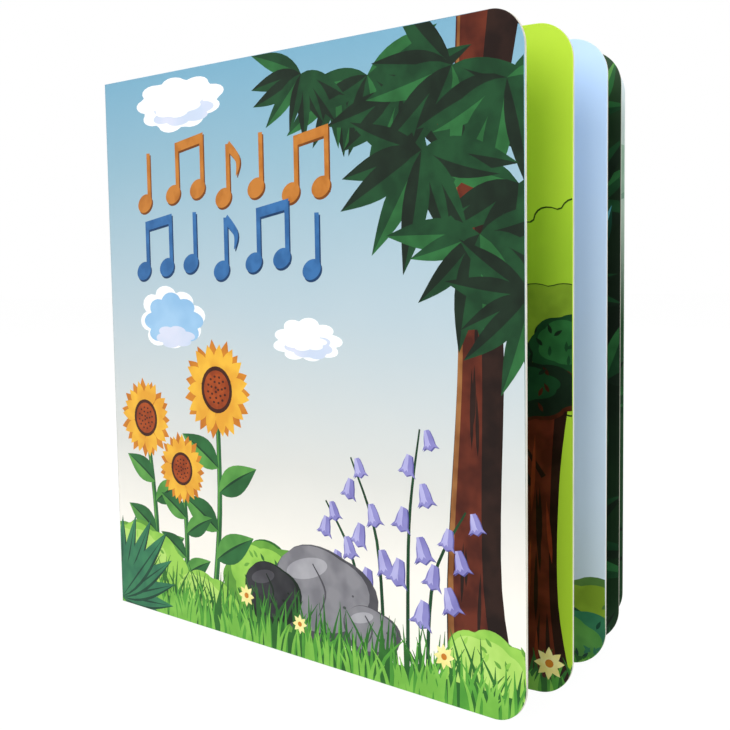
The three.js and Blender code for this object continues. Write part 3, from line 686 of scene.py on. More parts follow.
# %% Music notes
def note(x, y, size, kind):
    """Outlines of one note whose head sits at (x, y). kind is quarter, eighth or pair."""
    head_wide, head_high, stem = size * 0.42, size * 0.3, size * 0.095
    shapes = [oval(x, y, head_wide, head_high, 24)]
    stem_x = x + head_wide * 0.42
    top = y + size * 0.86
    shapes.append([(stem_x - stem, y), (stem_x, y), (stem_x, top), (stem_x - stem, top)])
    if kind == "eighth":
        shapes.append(ribbon([(stem_x - stem / 2, top - 0.3, size * 0.16),
                              (stem_x + size * 0.2, top - size * 0.26, size * 0.12),
                              (stem_x + size * 0.16, top - size * 0.52, size * 0.02)]))
    if kind == "pair":
        far = x + size * 0.66
        far_stem = stem_x + size * 0.66
        shapes += [oval(far, y + size * 0.06, head_wide, head_high, 24),
                   [(far_stem - stem, y), (far_stem, y), (far_stem, top + size * 0.1),
                    (far_stem - stem, top + size * 0.1)],
                   [(stem_x - stem, top - size * 0.16), (far_stem, top - size * 0.04),
                    (far_stem, top + size * 0.12), (stem_x - stem, top)]]
    return shapes


def note_row(x, y, size, kinds, ink):
    """A row of notes in a raised-looking ink."""
    faces = []
    for i, kind in enumerate(kinds):
        faces += note(x, y + (size * 0.12 if i % 2 else 0), size, kind)
        x += size * (1.32 if kind == "pair" else 0.8)
    edges = [(ink + "_dark", [(px + size * 0.03, py - size * 0.035) for px, py in face])
             for face in faces]
    return edges + [(ink, face) for face in faces]


print("a pair of notes is", len(note(0, 0, 22, "pair")), "shapes")

# %% [markdown]
# ## The cover picture
#
# A meadow under a pale sky: tall sunflowers on the left, boulders and bellflowers in the middle, and a
# dark tree on the right whose leaves hang over the scene. It is drawn from the back to the front, so a
# shape has to be right only where nothing lies over it.

# %% Tree with hanging leaves
forest_tones = [("leaf_deep", "leaf_dark"), ("leaf_dark", "leaf_mid"), ("leaf_deep", "leaf_dark")]


def hanging_tree(x, height, rng, clusters):
    """A trunk with one long branch. clusters lists each bunch's x, y, leaf length and direction."""
    shapes = [
        ("bark_dark", ribbon([(x + 4, -4, 30), (x - 1, 40, 21), (x + 2, 110, 17), (x, 160, 16),
                              (x + 6, height + 6, 24)])),
        ("bark", ribbon([(x + 1, -4, 20), (x - 4, 40, 13), (x - 2, 110, 9), (x - 4, 160, 8),
                         (x, height + 6, 12)])),
        ("bark_light", ribbon([(x - 9, 0, 3), (x - 10, 42, 2), (x - 5.6, 110, 1.8),
                               (x - 7, 160, 1.4), (x - 5, height + 4, 1)])),
        ("bark_dark", ribbon([(x - 2, 168, 11), (x - 24, 186, 8), (x - 52, 192, 5.5),
                              (x - 82, 203, 2.5)])),
        ("bark", ribbon([(x - 4, 170, 5), (x - 24, 187.6, 3.6), (x - 52, 193.2, 2.4),
                         (x - 80, 203, 1.0)])),
    ]
    for i in range(9):
        foot = rng.uniform(8, height - 40)
        shapes.append(("bark_dark", leaf(x - 6 + rng.uniform(0, 8), foot, rng.uniform(12, 26), 1.4,
                                         90 + rng.uniform(-3, 3), 0, 5)))
    for px, py, size, facing in clusters:
        shapes += leaf_cluster(px, py, size, 9, 190, facing, rng, forest_tones)
    return shapes


# %% The whole cover
def cover_picture(width, height):
    rng = random.Random(11)
    shapes = cloud(46, 198, 52, 20) + blue_cloud(38, 118, 40, 24, 0.9) + cloud(112, 112, 34, 15, 1.4)
    shapes += hanging_tree(184, height, rng, [
        (128, 196, 26, -95), (142, 197, 30, -80), (112, 201, 24, -110), (156, 190, 34, -70),
        (176, 196, 36, -120), (196, 190, 38, -75), (200, 160, 34, -100), (164, 172, 36, -100),
        (186, 146, 34, -90), (204, 128, 30, -110),
    ])
    shapes += note_row(24, 162, 22, ["quarter", "pair", "eighth", "quarter", "pair"], "note_orange")
    shapes += note_row(22, 136, 22, ["pair", "quarter", "eighth", "pair", "quarter"], "note_blue")
    shapes += bush(92, 20, 56, 40, rng, ("bush_dark", "bush", "grass_dark"))
    bell_stems = (146, 8, 66, -14), (156, 8, 78, 6), (136, 8, 50, -16), (164, 6, 56, 16)
    for x, foot, tall, lean in bell_stems:
        shapes += bellflower(x, foot, tall, lean)
    shapes += boulder(118, 24, 50, 36) + boulder(92, 20, 30, 24, "slate") + boulder(140, 16, 26, 18)
    shapes += tall_flower(58, 64, 92, 19, rng) + tall_flower(24, 20, 78, 16, rng)
    shapes += tall_flower(40, 42, 60, 14, rng)
    shapes += bush(16, 14, 60, 44, rng) + bush(54, 8, 42, 28, rng)
    shapes += bush(190, 10, 44, 34, rng)
    shapes += grass_band(width, 27, 150, rng)
    shapes += fan_leaf(0, 2, 44, -10, 100, 9, rng)
    shapes += daisy(78, 17, 4.2, rng) + daisy(106, 12, 3.6, rng) + daisy(171, 15, 4.2, rng)
    return shapes


cover_shapes = cover_picture(cover_width, book_height)
print("the cover picture is", len(cover_shapes), "shapes")

# %% [markdown]
# ## The inner pages
#
# Each spread has a ground of its own: lime green with trees, a pale sky over hedges, and a dark thicket.
# The last spread, where the buttons are, has far trees in the mist over its thicket. Two facing pages
# come from one function with two random seeds, so they match without being copies, and of the two lime
# pages one is turned round as well.

# %% Lime pages
def outlined(ink, line, shape, centre, thick=0.7):
    """A shape with a drawn outline: the same shape in the line's ink, a little larger, behind it."""
    cx, cy = centre
    reach = max(math.hypot(px - cx, py - cy) for px, py in shape)
    grow = 1 + thick / reach
    return [(line, [(cx + (px - cx) * grow, cy + (py - cy) * grow) for px, py in shape]),
            (ink, shape)]


def thick_trunk(x, top, width, rng):
    """A reddish trunk that flares at its foot and forks under the leaves, with streaks up its bark."""
    shapes = [("bark_dark", ribbon([(x + 2, -4, width * 1.6), (x - 1, top * 0.3, width * 1.1),
                                    (x, top * 0.7, width), (x + 3, top, width * 1.1)])),
              ("bark", ribbon([(x, -4, width * 1.2), (x - 2, top * 0.3, width * 0.8),
                               (x - 1, top * 0.7, width * 0.7), (x + 1, top, width * 0.7)])),
              ("bark_dark", ribbon([(x - 1, top * 0.7, 7), (x - 12, top * 0.86, 5), (x - 22, top, 3)])),
              ("bark", ribbon([(x - 1, top * 0.7, 3.4), (x - 12, top * 0.87, 2.4), (x - 22, top, 1.4)]))]
    for i in range(11):
        px, foot = x + width * rng.uniform(-0.5, 0.35), rng.uniform(0, top * 0.75)
        ink = "bark_red" if i % 2 else "bark_dark"
        shapes.append((ink, leaf(px, foot, rng.uniform(14, 30), 1.5, 90 + rng.uniform(-6, 6), 0, 5)))
    return shapes


def lime_picture(width, seed):
    rng = random.Random(seed)
    shapes = []
    for x, y, wide, high, bumps in ((30, 150, 66, 60, 20), (96, 172, 74, 56, 22), (70, 110, 80, 50, 22),
                                    (width + 12, 124, 84, 68, 25), (150, 132, 60, 44, 17)):
        puff = scalloped(x, y, wide, high, bumps, 0.09, rng.random() * 3)
        shapes += outlined("lime_deep", "contour", puff, (x, y))
    shade = scalloped(width - 4, 116, 58, 30, 14, 0.1, 0.6)
    shapes += outlined("olive", "contour", shade, (width - 4, 116))
    shapes += thick_trunk(width - 11, 98, 13, rng) + thick_trunk(62, 92, 11, rng)
    deep_tones, dark_tones = ("leaf_dark", "leaf_mid", "leaf_deep"), ("leaf_deep", "leaf_dark", "umber")
    for x, y, wide in ((width - 44, 98, 30), (width - 30, 108, 34), (width + 2, 110, 36), (40, 92, 34),
                       (84, 96, 36), (62, 104, 44)):
        shapes += bush(x, y, wide, wide * 0.62, rng, deep_tones)
    shapes += bush(width - 14, 97, 38, 19, rng, dark_tones)
    shapes += bush(138, 18, 50, 38, rng) + bush(96, 22, 60, 44, rng) + bush(20, 16, 60, 36, rng)
    shapes += grass_band(width, 17, 130, rng)
    return shapes + daisy(width - 8, 10, 5.4, rng) + daisy(120, 10, 5, rng) + daisy(40, 10, 5, rng)


def mirrored(shapes, width):
    """The same picture the other way round, so that two facing pages don't repeat each other."""
    return [(ink, [(width - x, y) for x, y in shape]) for ink, shape in shapes]


# %% Pale pages
def blue_picture(width, seed):
    rng = random.Random(seed)
    shapes = cloud(60, 160, 70, 30, rng.random()) + cloud(130, 184, 50, 20, rng.random())
    shapes += blue_cloud(110, 116, 60, 30, rng.random())
    teal_tones, olive_tones = ("teal", "leaf_light", "teal_dark"), ("moss", "olive", "leaf_mid")
    shapes += bush(width - 2, 14, 44, 34, rng, olive_tones) + bush(24, 20, 70, 46, rng, olive_tones)
    shapes += bush(150, 12, 60, 34, rng, olive_tones)
    shapes += bush(width - 14, 2, 50, 38, rng, teal_tones) + bush(70, 8, 60, 34, rng, teal_tones)
    return shapes + boulder(112, 12, 44, 26) + grass_band(width, 9, 110, rng)


# %% Forest pages
def far_tree(x, foot, crown, wide, rng):
    """A pale tree that stands back in the mist."""
    puff = scalloped(x, crown, wide, wide * 0.7, 9, 0.1, rng.random())
    lobe = scalloped(x - wide * 0.12, crown + wide * 0.06, wide * 0.6, wide * 0.4, 7, 0.1, rng.random())
    return [("far_wood", ribbon([(x, foot, wide * 0.2), (x - 1, (foot + crown) / 2, wide * 0.13),
                                 (x, crown, wide * 0.12)])),
            ("far_wood", [(px + 1.2, py - 1.6) for px, py in puff]),
            ("far_crown", puff), ("far_light", lobe)]


# Where each far tree stands, how high its crown is and how wide
far_trees = ((24, 166, 44), (66, 150, 34), (104, 172, 48), (146, 152, 36), (182, 170, 46))
# Single leaves at the fore edge: share of the thicket's height, angle and the two inks
edge_leaves = (
    (0.9, 62, "leaf_mid", "leaf_light"), (0.84, 118, "leaf_dark", "moss"),
    (0.8, 76, "teal_dark", "cyan"), (0.66, 66, "teal_dark", "cyan"),
    (0.5, 108, "leaf_deep", "leaf_mid"), (0.3, 70, "leaf_dark", "leaf_mid"),
)


def forest_picture(width, height, seed, top=None):
    """A thicket of leaves. top is its height where mist with far trees shows over it."""
    rng = random.Random(seed)
    top = top or height
    shapes = []
    if top < height:
        for x, crown, wide in far_trees:
            shapes += far_tree(x, top * 0.8, crown, wide, rng)
    for row in range(7):
        for i in range(5):
            x = (i + 0.5 + rng.uniform(-0.4, 0.4)) * width / 5
            size = rng.uniform(22, 34)
            y = (top - size * 0.8) * (1 - row / 6)
            shapes += leaf_cluster(x, y, size, 7, 200, rng.uniform(75, 105), rng, forest_tones)
    for _ in range(7):
        x, y = rng.uniform(8, width - 30), rng.uniform(6, top * 0.6)
        shapes += leaf_cluster(x, y, rng.uniform(16, 22), 5, 130, 90, rng, [("leaf_mid", "leaf_light")])
    for share, angle, dark, light in edge_leaves:
        shapes += two_tone_leaf(width - 9, top * share, 19, 4.5, angle, 0.1, dark, light)
    return shapes + grass_band(width, 18, 90, rng, ("leaf_deep", "leaf_dark", "leaf_mid"))


# %% Back cover's picture
def back_picture(width):
    rng = random.Random(5)
    shapes = cloud(58, 180, 60, 26, 0.4) + blue_cloud(150, 168, 52, 28, 1.1) + cloud(112, 136, 44, 18)
    shapes += bush(20, 16, 70, 50, rng) + bush(178, 14, 70, 44, rng)
    shapes += tall_flower(168, 172, 64, 14, rng) + boulder(96, 10, 46, 26)
    return shapes + grass_band(width, 24, 150, rng) + daisy(60, 16, 4.4, rng)


print("a lime page is", len(lime_picture(leaf_width, 7)), "shapes")

# %% [markdown]
# ## From flat shapes to a printed board
#
# The outline of the board and all the shapes go through one constrained triangulation. It cuts them
# along each other's edges, and says of each small triangle which shapes it lies in. The topmost one
# gives its ink. The board is then closed: both printed faces end 0.2 mm short of the cut, where the
# blade has drawn the film down over a narrow bevel, and the bare edge lies between the two bevels.
# Each hole, such as a button's window, is closed the same way. Thin sheets of ink laid over the board
# would be simpler, but sheets that lie so close flicker where the camera can't tell them apart.

# %% Board outlines
corner_steps = 24


def board_outline(start, end, inset=0.0):
    """Square at the spine and round at the fore edge, counter-clockwise."""
    radius = corner_radius - inset
    low, high = inset, book_height - inset
    left, right = start + inset, end - inset
    points = [(left, high), (left, low)]
    for centre_y, first in ((low + radius, -90), (high - radius, 0)):
        for i in range(corner_steps + 1):
            angle = math.radians(first + 90 * i / corner_steps)
            points.append((right - radius + radius * math.cos(angle),
                           centre_y + radius * math.sin(angle)))
    return points


def round_hole(x, y, radius, steps=64):
    """A hole is a function that gives its outline, clockwise, grown by an amount."""
    def grown(extra):
        return oval(x, y, 2 * (radius + extra), 2 * (radius + extra), 0, steps)[::-1]
    return grown


def square_hole(left, bottom, right, top, radius, steps=8):
    """A rectangular hole with round corners."""
    def grown(extra):
        reach = radius + extra
        points = []
        for x, y, first in ((right - radius, bottom + radius, -90), (right - radius, top - radius, 0),
                            (left + radius, top - radius, 90), (left + radius, bottom + radius, 180)):
            for i in range(steps + 1):
                angle = math.radians(first + 90 * i / steps)
                points.append((x + reach * math.cos(angle), y + reach * math.sin(angle)))
        return points[::-1]
    return grown


def signed_area(points):
    return sum(a[0] * b[1] - b[0] * a[1] for a, b in zip(points, points[1:] + points[:1])) / 2


print("a leaf's outline has", len(board_outline(0, leaf_width)), "points")


# %% Cutting the print into the face
merge_distance = 1e-4


def lay_print(outline, holes, shapes, base):
    """Returns the face's points, its triangles and each triangle's ink."""
    polygons = [outline] + holes + [points for _, points in shapes]
    polygons = [points if signed_area(points) > 0 else points[::-1] for points in polygons]
    corners, loops = [], []
    for points in polygons:
        loops.append(list(range(len(corners), len(corners) + len(points))))
        corners += [Vector(point) for point in points]
    inside_only = 1
    points, _, triangles, _, _, over = geometry.delaunay_2d_cdt(
        corners, [], loops, inside_only, merge_distance)
    first = 1 + len(holes)
    kept, tones = [], []
    for triangle, below in zip(triangles, over):
        if 0 not in below or any(1 <= k < first for k in below):
            continue
        top = max(below)
        kept.append(tuple(triangle))
        tones.append(shapes[top - first][0] if top >= first else base)
    used = sorted({i for triangle in kept for i in triangle})
    index = {old: new for new, old in enumerate(used)}
    return [points[i][:] for i in used], [tuple(index[i] for i in t) for t in kept], tones


# %% Finding the rims
def rims(triangles, tones):
    """The closed loops of points round the face's outline and round each of its holes, and the ink
    that meets the rim at each point."""
    directed = {(t[i], t[i - 2]): tone for t, tone in zip(triangles, tones) for i in range(3)}
    ahead = {a: b for a, b in directed if (b, a) not in directed}
    inks_at = {a: directed[a, b] for a, b in ahead.items()}
    loops = []
    while ahead:
        start, here = ahead.popitem()
        loop = [start]
        while here != start:
            loop.append(here)
            here = ahead.pop(here)
        loops.append(loop)
    return loops, inks_at


# %% Closing the board
def zipped(rim, flat, ring, inner):
    """Triangles between a face's rim and the ring of points round it. flat lists the rim's points, and
    inner the corner of the rim that belongs to each point of the ring. Between two corners the rim may
    have more points, where the shapes of the print end."""
    at = [min(range(len(flat)), key=lambda k: math.dist(flat[k], corner)) for corner in inner]
    triangles = []
    for i, here in enumerate(ring):
        after = (i + 1) % len(ring)
        k = at[i]
        while k != at[after]:
            following = (k + 1) % len(rim)
            triangles.append((rim[k], here, rim[following]))
            k = following
        triangles.append((rim[k], here, ring[after]))
    return triangles


# %% A mesh in the making
class Sheet:
    """Gathers the points, faces and inks of one mesh."""

    def __init__(self):
        self.points, self.faces, self.tones = [], [], []

    def add(self, points, faces, tones, place):
        first = len(self.points)
        self.points += [place @ Vector(point) for point in points]
        self.faces += [tuple(first + i for i in face) for face in faces]
        self.tones += tones

    def build(self, name, materials):
        used = sorted(set(self.tones))
        mesh = bpy.data.meshes.new(name)
        mesh.from_pydata(self.points, [], self.faces)
        for tone in used:
            mesh.materials.append(materials[tone])
        index = {tone: i for i, tone in enumerate(used)}
        mesh.polygons.foreach_set("material_index", [index[tone] for tone in self.tones])
        mesh.update()
        piece = bpy.data.objects.new(name, mesh)
        bpy.context.scene.collection.objects.link(piece)
        print(name, len(self.faces), "faces,", len(used), "materials")
        return piece


# %% Adding a board
chamfer = 0.2


def add_board(sheet, place, span, depth, front, back, holes=(), rim="edge", spine=None, bevel=chamfer):
    """Adds a closed board. span is (start, end) along x and depth is (front, back) along y.
    front and back are (base ink, shapes as the reader sees them) of the two faces, and their print
    runs on over the bevel. rim is the cut edge's finish, and spine the finish of the edge at the
    fold, where the printed sheet wraps it."""
    start, end = span
    points, faces, tones, ends, arris = [], [], [], [], {}
    walls = [board_outline(start, end)] + [hole(0) for hole in holes]
    inners = [board_outline(start, end, bevel)] + [hole(bevel) for hole in holes]
    for side, (base, shapes) in enumerate((front, back)):
        placed = [(ink, [(end - x if side else start + x, y) for x, y in shape])
                  for ink, shape in shapes]
        face_points, triangles, face_inks = lay_print(inners[0], inners[1:], placed, base)
        first = len(points)
        points += [(x, depth[side], y) for x, y in face_points]
        faces += [tuple(first + i for i in (t[::-1] if side else t)) for t in triangles]
        tones += face_inks
        loops, inks_at = rims(triangles, face_inks)
        ends.append([([first + i for i in loop], [face_points[i] for i in loop]) for loop in loops])
        arris.update({first + i: ink for i, ink in inks_at.items()})
    for wall, inner in zip(walls, inners):
        count, rings = len(wall), []
        for level in (depth[0] + bevel, depth[1] - bevel):
            rings.append(list(range(len(points), len(points) + count)))
            points += [(x, level, y) for x, y in wall]
        near, far = rings
        for i in range(count):
            after = (i + 1) % count
            faces.append((near[i], far[i], far[after], near[after]))
            folded = spine and wall[i][0] == start and wall[after][0] == start
            tones.append(spine if folded else rim)
        for side, ring in enumerate(rings):
            loop, flat = min(ends[side], key=lambda end: min(math.dist(p, inner[0]) for p in end[1]))
            strip = zipped(loop, flat, ring, inner)
            faces += [t[::-1] for t in strip] if side else strip
            tones += [arris[triangle[0]] for triangle in strip]
    sheet.add(points, faces, tones, place)


def finished(piece, nodes, body):
    """Hides the frame's parts that a piece stands in for, and hangs the piece on the body it moves with.
    """
    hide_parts(*nodes)
    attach(piece, body)


print("the print runs over a bevel of", chamfer, "mm")

# %% [markdown]
# ## The boards of the book
#
# The cover turns at its fold, so it is a piece of its own. The three leaves are glued together at the
# gutter, so they are one piece. A thin plane would do for a page seen from the front, but here the cut
# edges are half of the look, so each board is a closed solid.

# %% Front cover
cover_sheet = Sheet()
add_board(cover_sheet, cover_place, (0, cover_width), (0, board),
          ("sky", cover_shapes),
          ("lime", mirrored(lime_picture(cover_width, 21), cover_width)), spine="sky")
finished(cover_sheet.build("front_cover_board", inks), ["front_cover"], "front_cover")

# %% Leaves
leaf_faces = [
    (("lime", lime_picture(leaf_width, 7)),
     ("pale_blue", blue_picture(leaf_width, 8))),
    (("pale_blue", blue_picture(leaf_width, 3)),
     ("night", forest_picture(leaf_width, book_height, 4))),
    (("night", forest_picture(leaf_width, book_height, 14)),
     ("mist", forest_picture(leaf_width, book_height, 15, 112))),
]
pages = Sheet()
for place, (front, back) in zip(leaf_places, leaf_faces):
    add_board(pages, place, (0, leaf_width), (0, board), front, back)
finished(pages.build("leaf_block", inks), ["page_block"], "pages")

# %% [markdown]
# ## The back block
#
# Its inner face is the button page, its outer face the back cover, and a white foam spacer between
# them makes room for the sound module. The windows and holes repeat those of the frame. A boolean could
# cut them, but as loops of the triangulation they get the same bevel and bare edge as the outline.

# %% Button page
rest = Matrix.Scale(MM, 4)
window_gap = 0.5
flange = 1.2
buttons = sorted(name for name in frame["nodes"] if name.removeprefix("button_").isdigit())
button_ring = ["purple", "amber", "leaf_light", "note_blue", "rust"]
block_width = fore_edge - block_start
ring_reach, ring_edge = 2.4, 3.4


def place_of(node):
    """The middle of a node as the reader of the page sees it, and half its width, in millimetres."""
    low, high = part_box(node)
    return (low.x + high.x) / 2 / MM, (low.z + high.z) / 2 / MM, (high.x - low.x) / 2 / MM


windows, rings = [], []
for name, ring in zip(buttons, button_ring):
    x, y, half = place_of(name)
    radius = half - flange + window_gap
    windows.append(round_hole(x, y, radius))
    for ink, extra in (("petal", ring_edge), (ring, ring_reach)):
        wide = 2 * (radius + extra)
        rings.append((ink, oval(x - block_start, y, wide, wide, 0, 48)))
button_page = Sheet()
add_board(button_page, rest, (block_start, fore_edge), (page_face, foam_front),
          ("mist", forest_picture(block_width, book_height, 16, 116) + rings), ("edge", []), windows)
finished(button_page.build("button_page_board", inks), ["page_board"], "back_block")

# %% Foam spacer
housing_gap = 0.3
housing_corner = 6
foam_nick = 0.1
tray_low, tray_high = (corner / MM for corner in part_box("module_tray"))
pocket = square_hole(tray_low.x - housing_gap, tray_low.z - housing_gap, tray_high.x + housing_gap,
                     tray_high.z + housing_gap, housing_corner + housing_gap)
spacer = Sheet()
add_board(spacer, rest, (block_start, fore_edge), (foam_front, foam_back), ("foam", []), ("foam", []),
          [pocket], "foam", bevel=foam_nick)
finished(spacer.build("foam_spacer", inks), ["foam_frame"], "back_block")

# %% Back cover
grille_pitch = 4.5
grille_hole = 1.4
door_gap = 0.3
door_corner = 3
speaker_x, speaker_z, _ = place_of("speaker_frame")
sound_holes = [round_hole(speaker_x, speaker_z, grille_hole, 24)]
for ring in (1, 2):
    for i in range(6 * ring):
        x, z = turned([(ring * grille_pitch, 0)], 60 * i / ring, speaker_x, speaker_z)[0]
        sound_holes.append(round_hole(x, z, grille_hole, 24))
door_low, door_high = (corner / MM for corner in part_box("battery_door"))
door_window = square_hole(door_low.x - door_gap, door_low.z - door_gap, door_high.x + door_gap,
                          door_high.z + door_gap, door_corner + door_gap)
back_cover = Sheet()
add_board(back_cover, rest, (-spine_side, fore_edge), (foam_back, back_face), ("edge", []),
          ("sky", back_picture(fore_edge + spine_side)), sound_holes + [door_window], spine="sky")
finished(back_cover.build("back_cover_board", inks), ["back_cover"], "back_block")

# %% [markdown]
# ## The spine
#
# One printed sheet wraps the whole book. At the spine it covers a narrow board, and past it only the
# film and the paper are left, which is what lets the covers fold. A sheet across a fold would have to
# bend, so it is drawn as a thin lip that ends at the front fold.

# %% Spine strip with its wrap
wrap = 0.15
wrap_end = 0.04
strip_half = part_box("spine_strip")[1].y / MM


def prism(sheet, section, low, high, tone):
    """Adds a closed upright solid whose section lists (x, y) points counter-clockwise."""
    count = len(section)
    points = [(x, y, z) for z in (low, high) for x, y in section]
    faces = [(i, (i + 1) % count, count + (i + 1) % count, count + i) for i in range(count)]
    faces += [tuple(reversed(range(count))), tuple(range(count, 2 * count))]
    sheet.add(points, faces, [tone] * len(faces), rest)


outside = -spine_side
spine_section = [
    (outside, strip_half), (outside, front_face + wrap_end), (outside + wrap_end, front_face + wrap_end),
    (outside + wrap, front_face + 4 * wrap), (outside + wrap, -strip_half),
    (spine_side - chamfer, -strip_half), (spine_side, -strip_half + chamfer),
    (spine_side, strip_half - chamfer), (spine_side - chamfer, strip_half),
]
spine = Sheet()
prism(spine, spine_section, 0, book_height, "sky")
finished(spine.build("spine_wrap", inks), ["spine_strip"], "pages")

# %% [markdown]
# ## The buttons
#
# Each button is a hollow cap of coloured ABS with a crowned, polished face. A flange under the lid
# keeps it in, and a plunger in its middle rests on the silicone dome. It could be built up from
# cylinders, but it is round all through, so one profile turned about its middle line gives it whole.

# %% Button caps
cap_steps = 64
cap_wall = 1.0
crown, rounding = 0.4, 0.5
arc_steps = 6
flange_depth = 0.7
flange_gap = 0.25
lid_thickness = 1
plunger = 2.5


def lathe(sheet, profile, x, z, tone):
    """Adds a solid turned about the line along y through (x, z). profile lists (radius, y) from the
    middle of its front to the middle of its back."""
    points, faces = [(x, profile[0][1], z)], []
    for radius, y in profile[1:-1]:
        for i in range(cap_steps):
            angle = 2 * math.pi * i / cap_steps
            points.append((x + radius * math.cos(angle), y, z + radius * math.sin(angle)))
    points.append((x, profile[-1][1], z))
    ring_count, last = len(profile) - 2, len(points) - 1
    for i in range(cap_steps):
        k = (i + 1) % cap_steps
        faces.append((0, 1 + i, 1 + k))
        for ring in range(ring_count - 1):
            a, b = 1 + ring * cap_steps, 1 + (ring + 1) * cap_steps
            faces.append((a + i, b + i, b + k, a + k))
        end = 1 + (ring_count - 1) * cap_steps
        faces.append((end + k, end + i, last))
    sheet.add(points, faces, [tone] * len(faces), rest)


def turned_piece(name, profile, x, z, tone, crease=35):
    """A turned solid as a piece, shaded smooth but for the edges sharper than the crease angle."""
    sheet = Sheet()
    lathe(sheet, profile, x, z, tone)
    piece = sheet.build(name, inks)
    piece.data.shade_smooth()
    piece.data.set_sharp_from_angle(angle=math.radians(crease))
    return piece


def cap_profile(outer, front, back, plunger_back):
    radius = outer - flange
    flange_front = back - flange_depth
    profile = [(0, front)]
    for i in range(1, arc_steps + 1):
        share = i / arc_steps
        reach = share * (radius - rounding)
        profile.append((reach, front + crown * share ** 2))
    for i in range(1, arc_steps + 1):
        angle = math.radians(90 * i / arc_steps)
        profile.append((radius - rounding + rounding * math.sin(angle),
                        front + crown + rounding * (1 - math.cos(angle))))
    roof = front + crown + cap_wall
    profile += [(radius, flange_front), (outer, flange_front), (outer, back), (radius - cap_wall, back),
                (radius - cap_wall, roof), (plunger, roof), (plunger, plunger_back), (0, plunger_back)]
    return profile


cap_colours = [("purple", "#6C6AAE", "#7F7DC0"), ("amber", "#D08E22", "#E2A434"),
               ("green", "#35803F", "#46964F"), ("blue", "#356494", "#4777A6"),
               ("rust", "#B64F25", "#CB6132")]
lid_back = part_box("module_lid")[0].y / MM + lid_thickness
flange_back = lid_back + flange_gap + flange_depth
for name, (colour, dark, light) in zip(buttons, cap_colours):
    x, z, outer = place_of(name)
    low, high = (corner.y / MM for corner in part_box(name))
    inks["cap"] = grained(colour + "_gloss_abs", dark, light, 0.5, 0.002, 0.18, Coat_Weight=0.3,
                          Coat_Roughness=0.08)
    cap = turned_piece("cap_" + name, cap_profile(outer, low, flange_back, high), x, z, "cap")
    finished(cap, [name], name)

# %% [markdown]
# ## The return domes
#
# A silicone cup under each plunger snaps flat as the button goes down and pushes it back. It is turned
# from a profile too.

# %% Domes
dome_wall = 0.4
dome_foot = 1.0
dome_top = 2.9
top_edge, foot_edge = 0.3, 0.1
inks["dome"] = silicone
for name in buttons:
    dome_name = name.replace("button", "return_dome")
    x, z, outer = place_of(dome_name)
    top, base = (corner.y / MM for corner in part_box(dome_name))
    foot = outer - dome_foot
    dome_profile = [
        (0, top), (dome_top - top_edge, top), (dome_top, top + top_edge / 2),
        (foot, base - dome_wall), (outer - foot_edge, base - dome_wall),
        (outer, base - dome_wall + foot_edge), (outer, base),
        (foot - dome_wall, base), (dome_top - dome_wall, top + dome_wall), (0, top + dome_wall),
    ]
    dome = turned_piece(dome_name + "_silicone", dome_profile, x, z, "dome")
    finished(dome, [dome_name], "back_block")
    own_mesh(dome)

# %% [markdown]
# ## Camera and light
#
# The book was photographed from a little above the middle of its height and slightly to the right of
# its fore edge. The camera's place and turns were worked out from the corners of the boards. A large
# soft lamp from the front left lights the cover, and three weaker ones keep the shadows open. The
# backdrop is full white where the camera sees it, directly or in a shine. The light that it sheds is
# dimmer, so that the print keeps its colour.

# %% Camera
camera_mm = (203.71, -440.82, 138.72)
yaw, pitch, roll = (math.radians(a) for a in (12.97, -5.159, -0.871))
focal_px, frame_px, sensor_mm = 1156.5, 730, 36
ahead = Vector((-math.sin(yaw) * math.cos(pitch), math.cos(yaw) * math.cos(pitch), math.sin(pitch)))
level_right = Vector((math.cos(yaw), math.sin(yaw), 0))
level_up = level_right.cross(ahead)
right = math.cos(roll) * level_right + math.sin(roll) * level_up
up = -math.sin(roll) * level_right + math.cos(roll) * level_up
camera_data = bpy.data.cameras.new("camera")
camera_data.sensor_width = sensor_mm
camera_data.lens = focal_px * sensor_mm / frame_px
camera_data.clip_start, camera_data.clip_end = 0.01, 50
camera = bpy.data.objects.new("camera", camera_data)
turn = Matrix((right, up, -ahead)).transposed().to_4x4()
camera.matrix_world = Matrix.Translation(Vector(camera_mm) * MM) @ turn
bpy.context.scene.collection.objects.link(camera)
bpy.context.scene.camera = camera
print("lens", round(camera_data.lens, 1), "mm")

# %% Floor and backdrop
white = (1, 1, 1, 1)
mottles_per_metre = 60.0
backdrop_white = 1.0
floor_white = 1.04
floor_glow = 0.93
floor_half = 4.0


def seen_directly(tree):
    """1 for rays from the camera, also by way of a shiny or a clear surface, and 0 for the rest."""
    path = add(tree, "ShaderNodeLightPath").outputs
    mirrored = add(tree, "ShaderNodeMath", {0: path["Is Camera Ray"], 1: path["Is Glossy Ray"]},
                   operation="ADD").outputs[0]
    both = add(tree, "ShaderNodeMath", {0: mirrored, 1: path["Is Transmission Ray"]},
               operation="ADD", use_clamp=True)
    return both.outputs[0]


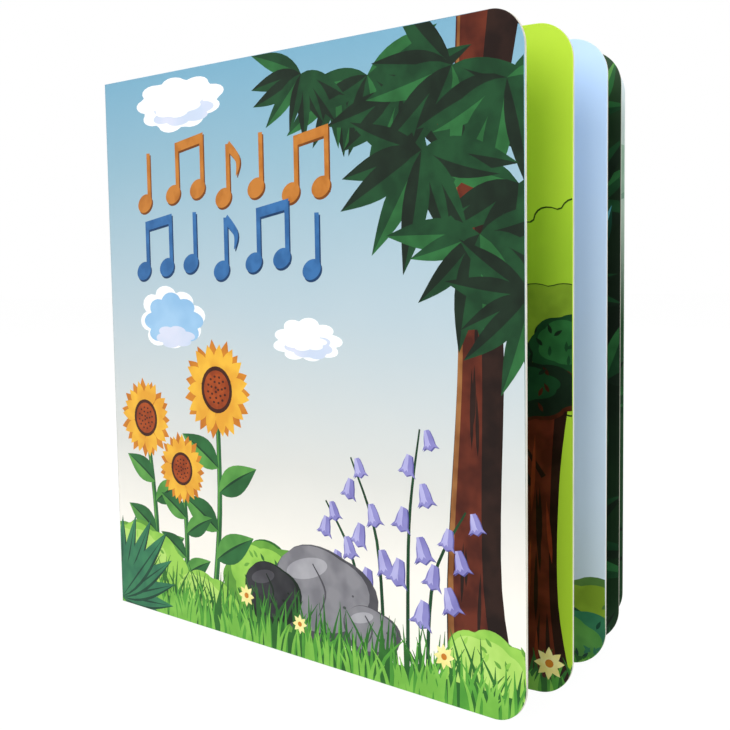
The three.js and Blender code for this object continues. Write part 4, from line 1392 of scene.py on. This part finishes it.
def pale_floor():
    """White to the camera, with a small share of plain paper that takes the book's faint shadow."""
    material, tree, output, place = start_material("studio_paper")
    grain = add(tree, "ShaderNodeTexNoise",
                {"Vector": place, "Scale": mottles_per_metre, "Detail": 2.0})
    tone = add(tree, "ShaderNodeMix", {"Factor": grain.outputs["Fac"], "A": linear("#F4F4F2"),
                                       "B": linear("#FCFCFB")}, data_type="RGBA")
    paper = add(tree, "ShaderNodeBsdfDiffuse", {"Color": tone.outputs["Result"]})
    glow = add(tree, "ShaderNodeEmission", {"Color": white, "Strength": floor_white})
    share = add(tree, "ShaderNodeMath", {0: seen_directly(tree), 1: floor_glow}, operation="MULTIPLY")
    mix = add(tree, "ShaderNodeMixShader", {0: share.outputs[0], 1: paper.outputs[0],
                                            2: glow.outputs[0]})
    tree.links.new(mix.outputs[0], output.inputs["Surface"])
    return material


floor_mesh = bpy.data.meshes.new("studio_floor")
floor_mesh.from_pydata([(-floor_half, -floor_half, 0), (floor_half, -floor_half, 0),
                        (floor_half, floor_half, 0), (-floor_half, floor_half, 0)],
                       [], [(0, 1, 2, 3)])
floor_mesh.materials.append(pale_floor())
floor = bpy.data.objects.new("studio_floor", floor_mesh)
bpy.context.scene.collection.objects.link(floor)
print("the floor is", 2 * floor_half, "m wide")

# %% Lamps and world
def area_lamp(name, place, target, size, watts):
    lamp = bpy.data.lights.new(name, "AREA")
    lamp.shape, lamp.size, lamp.energy = "SQUARE", size, watts
    obj = bpy.data.objects.new(name, lamp)
    obj.location = place
    obj.rotation_euler = (Vector(target) - Vector(place)).to_track_quat("-Z", "Y").to_euler()
    bpy.context.scene.collection.objects.link(obj)


middle = (0.1, 0.0, 0.1)
lamps = {
    # name: (place in metres, width in metres, watts)
    "key_softbox": ((-0.3, -1.3, 0.85), 0.9, 13.5),
    "fill_softbox": ((1.2, -0.8, 0.6), 0.8, 5),
    "top_softbox": ((0.1, 0.0, 1.5), 1.2, 4),
    "back_softbox": ((0.6, 1.4, 0.8), 1.0, 9),
}
for name, (place, size, watts) in lamps.items():
    area_lamp(name, place, middle, size, watts)
print(len(lamps), "soft lamps")

world_light = 0.42
world = bpy.data.worlds.new("studio")
world.use_nodes = True
sky = world.node_tree
sky.nodes.clear()
soft_light = add(sky, "ShaderNodeBackground", {"Color": white, "Strength": world_light})
backdrop = add(sky, "ShaderNodeBackground", {"Color": white, "Strength": backdrop_white})
blend = add(sky, "ShaderNodeMixShader", {0: seen_directly(sky), 1: soft_light.outputs[0],
                                         2: backdrop.outputs[0]})
add(sky, "ShaderNodeOutputWorld", {"Surface": blend.outputs[0]})
bpy.context.scene.world = world
bpy.context.scene.view_settings.view_transform = "Standard"
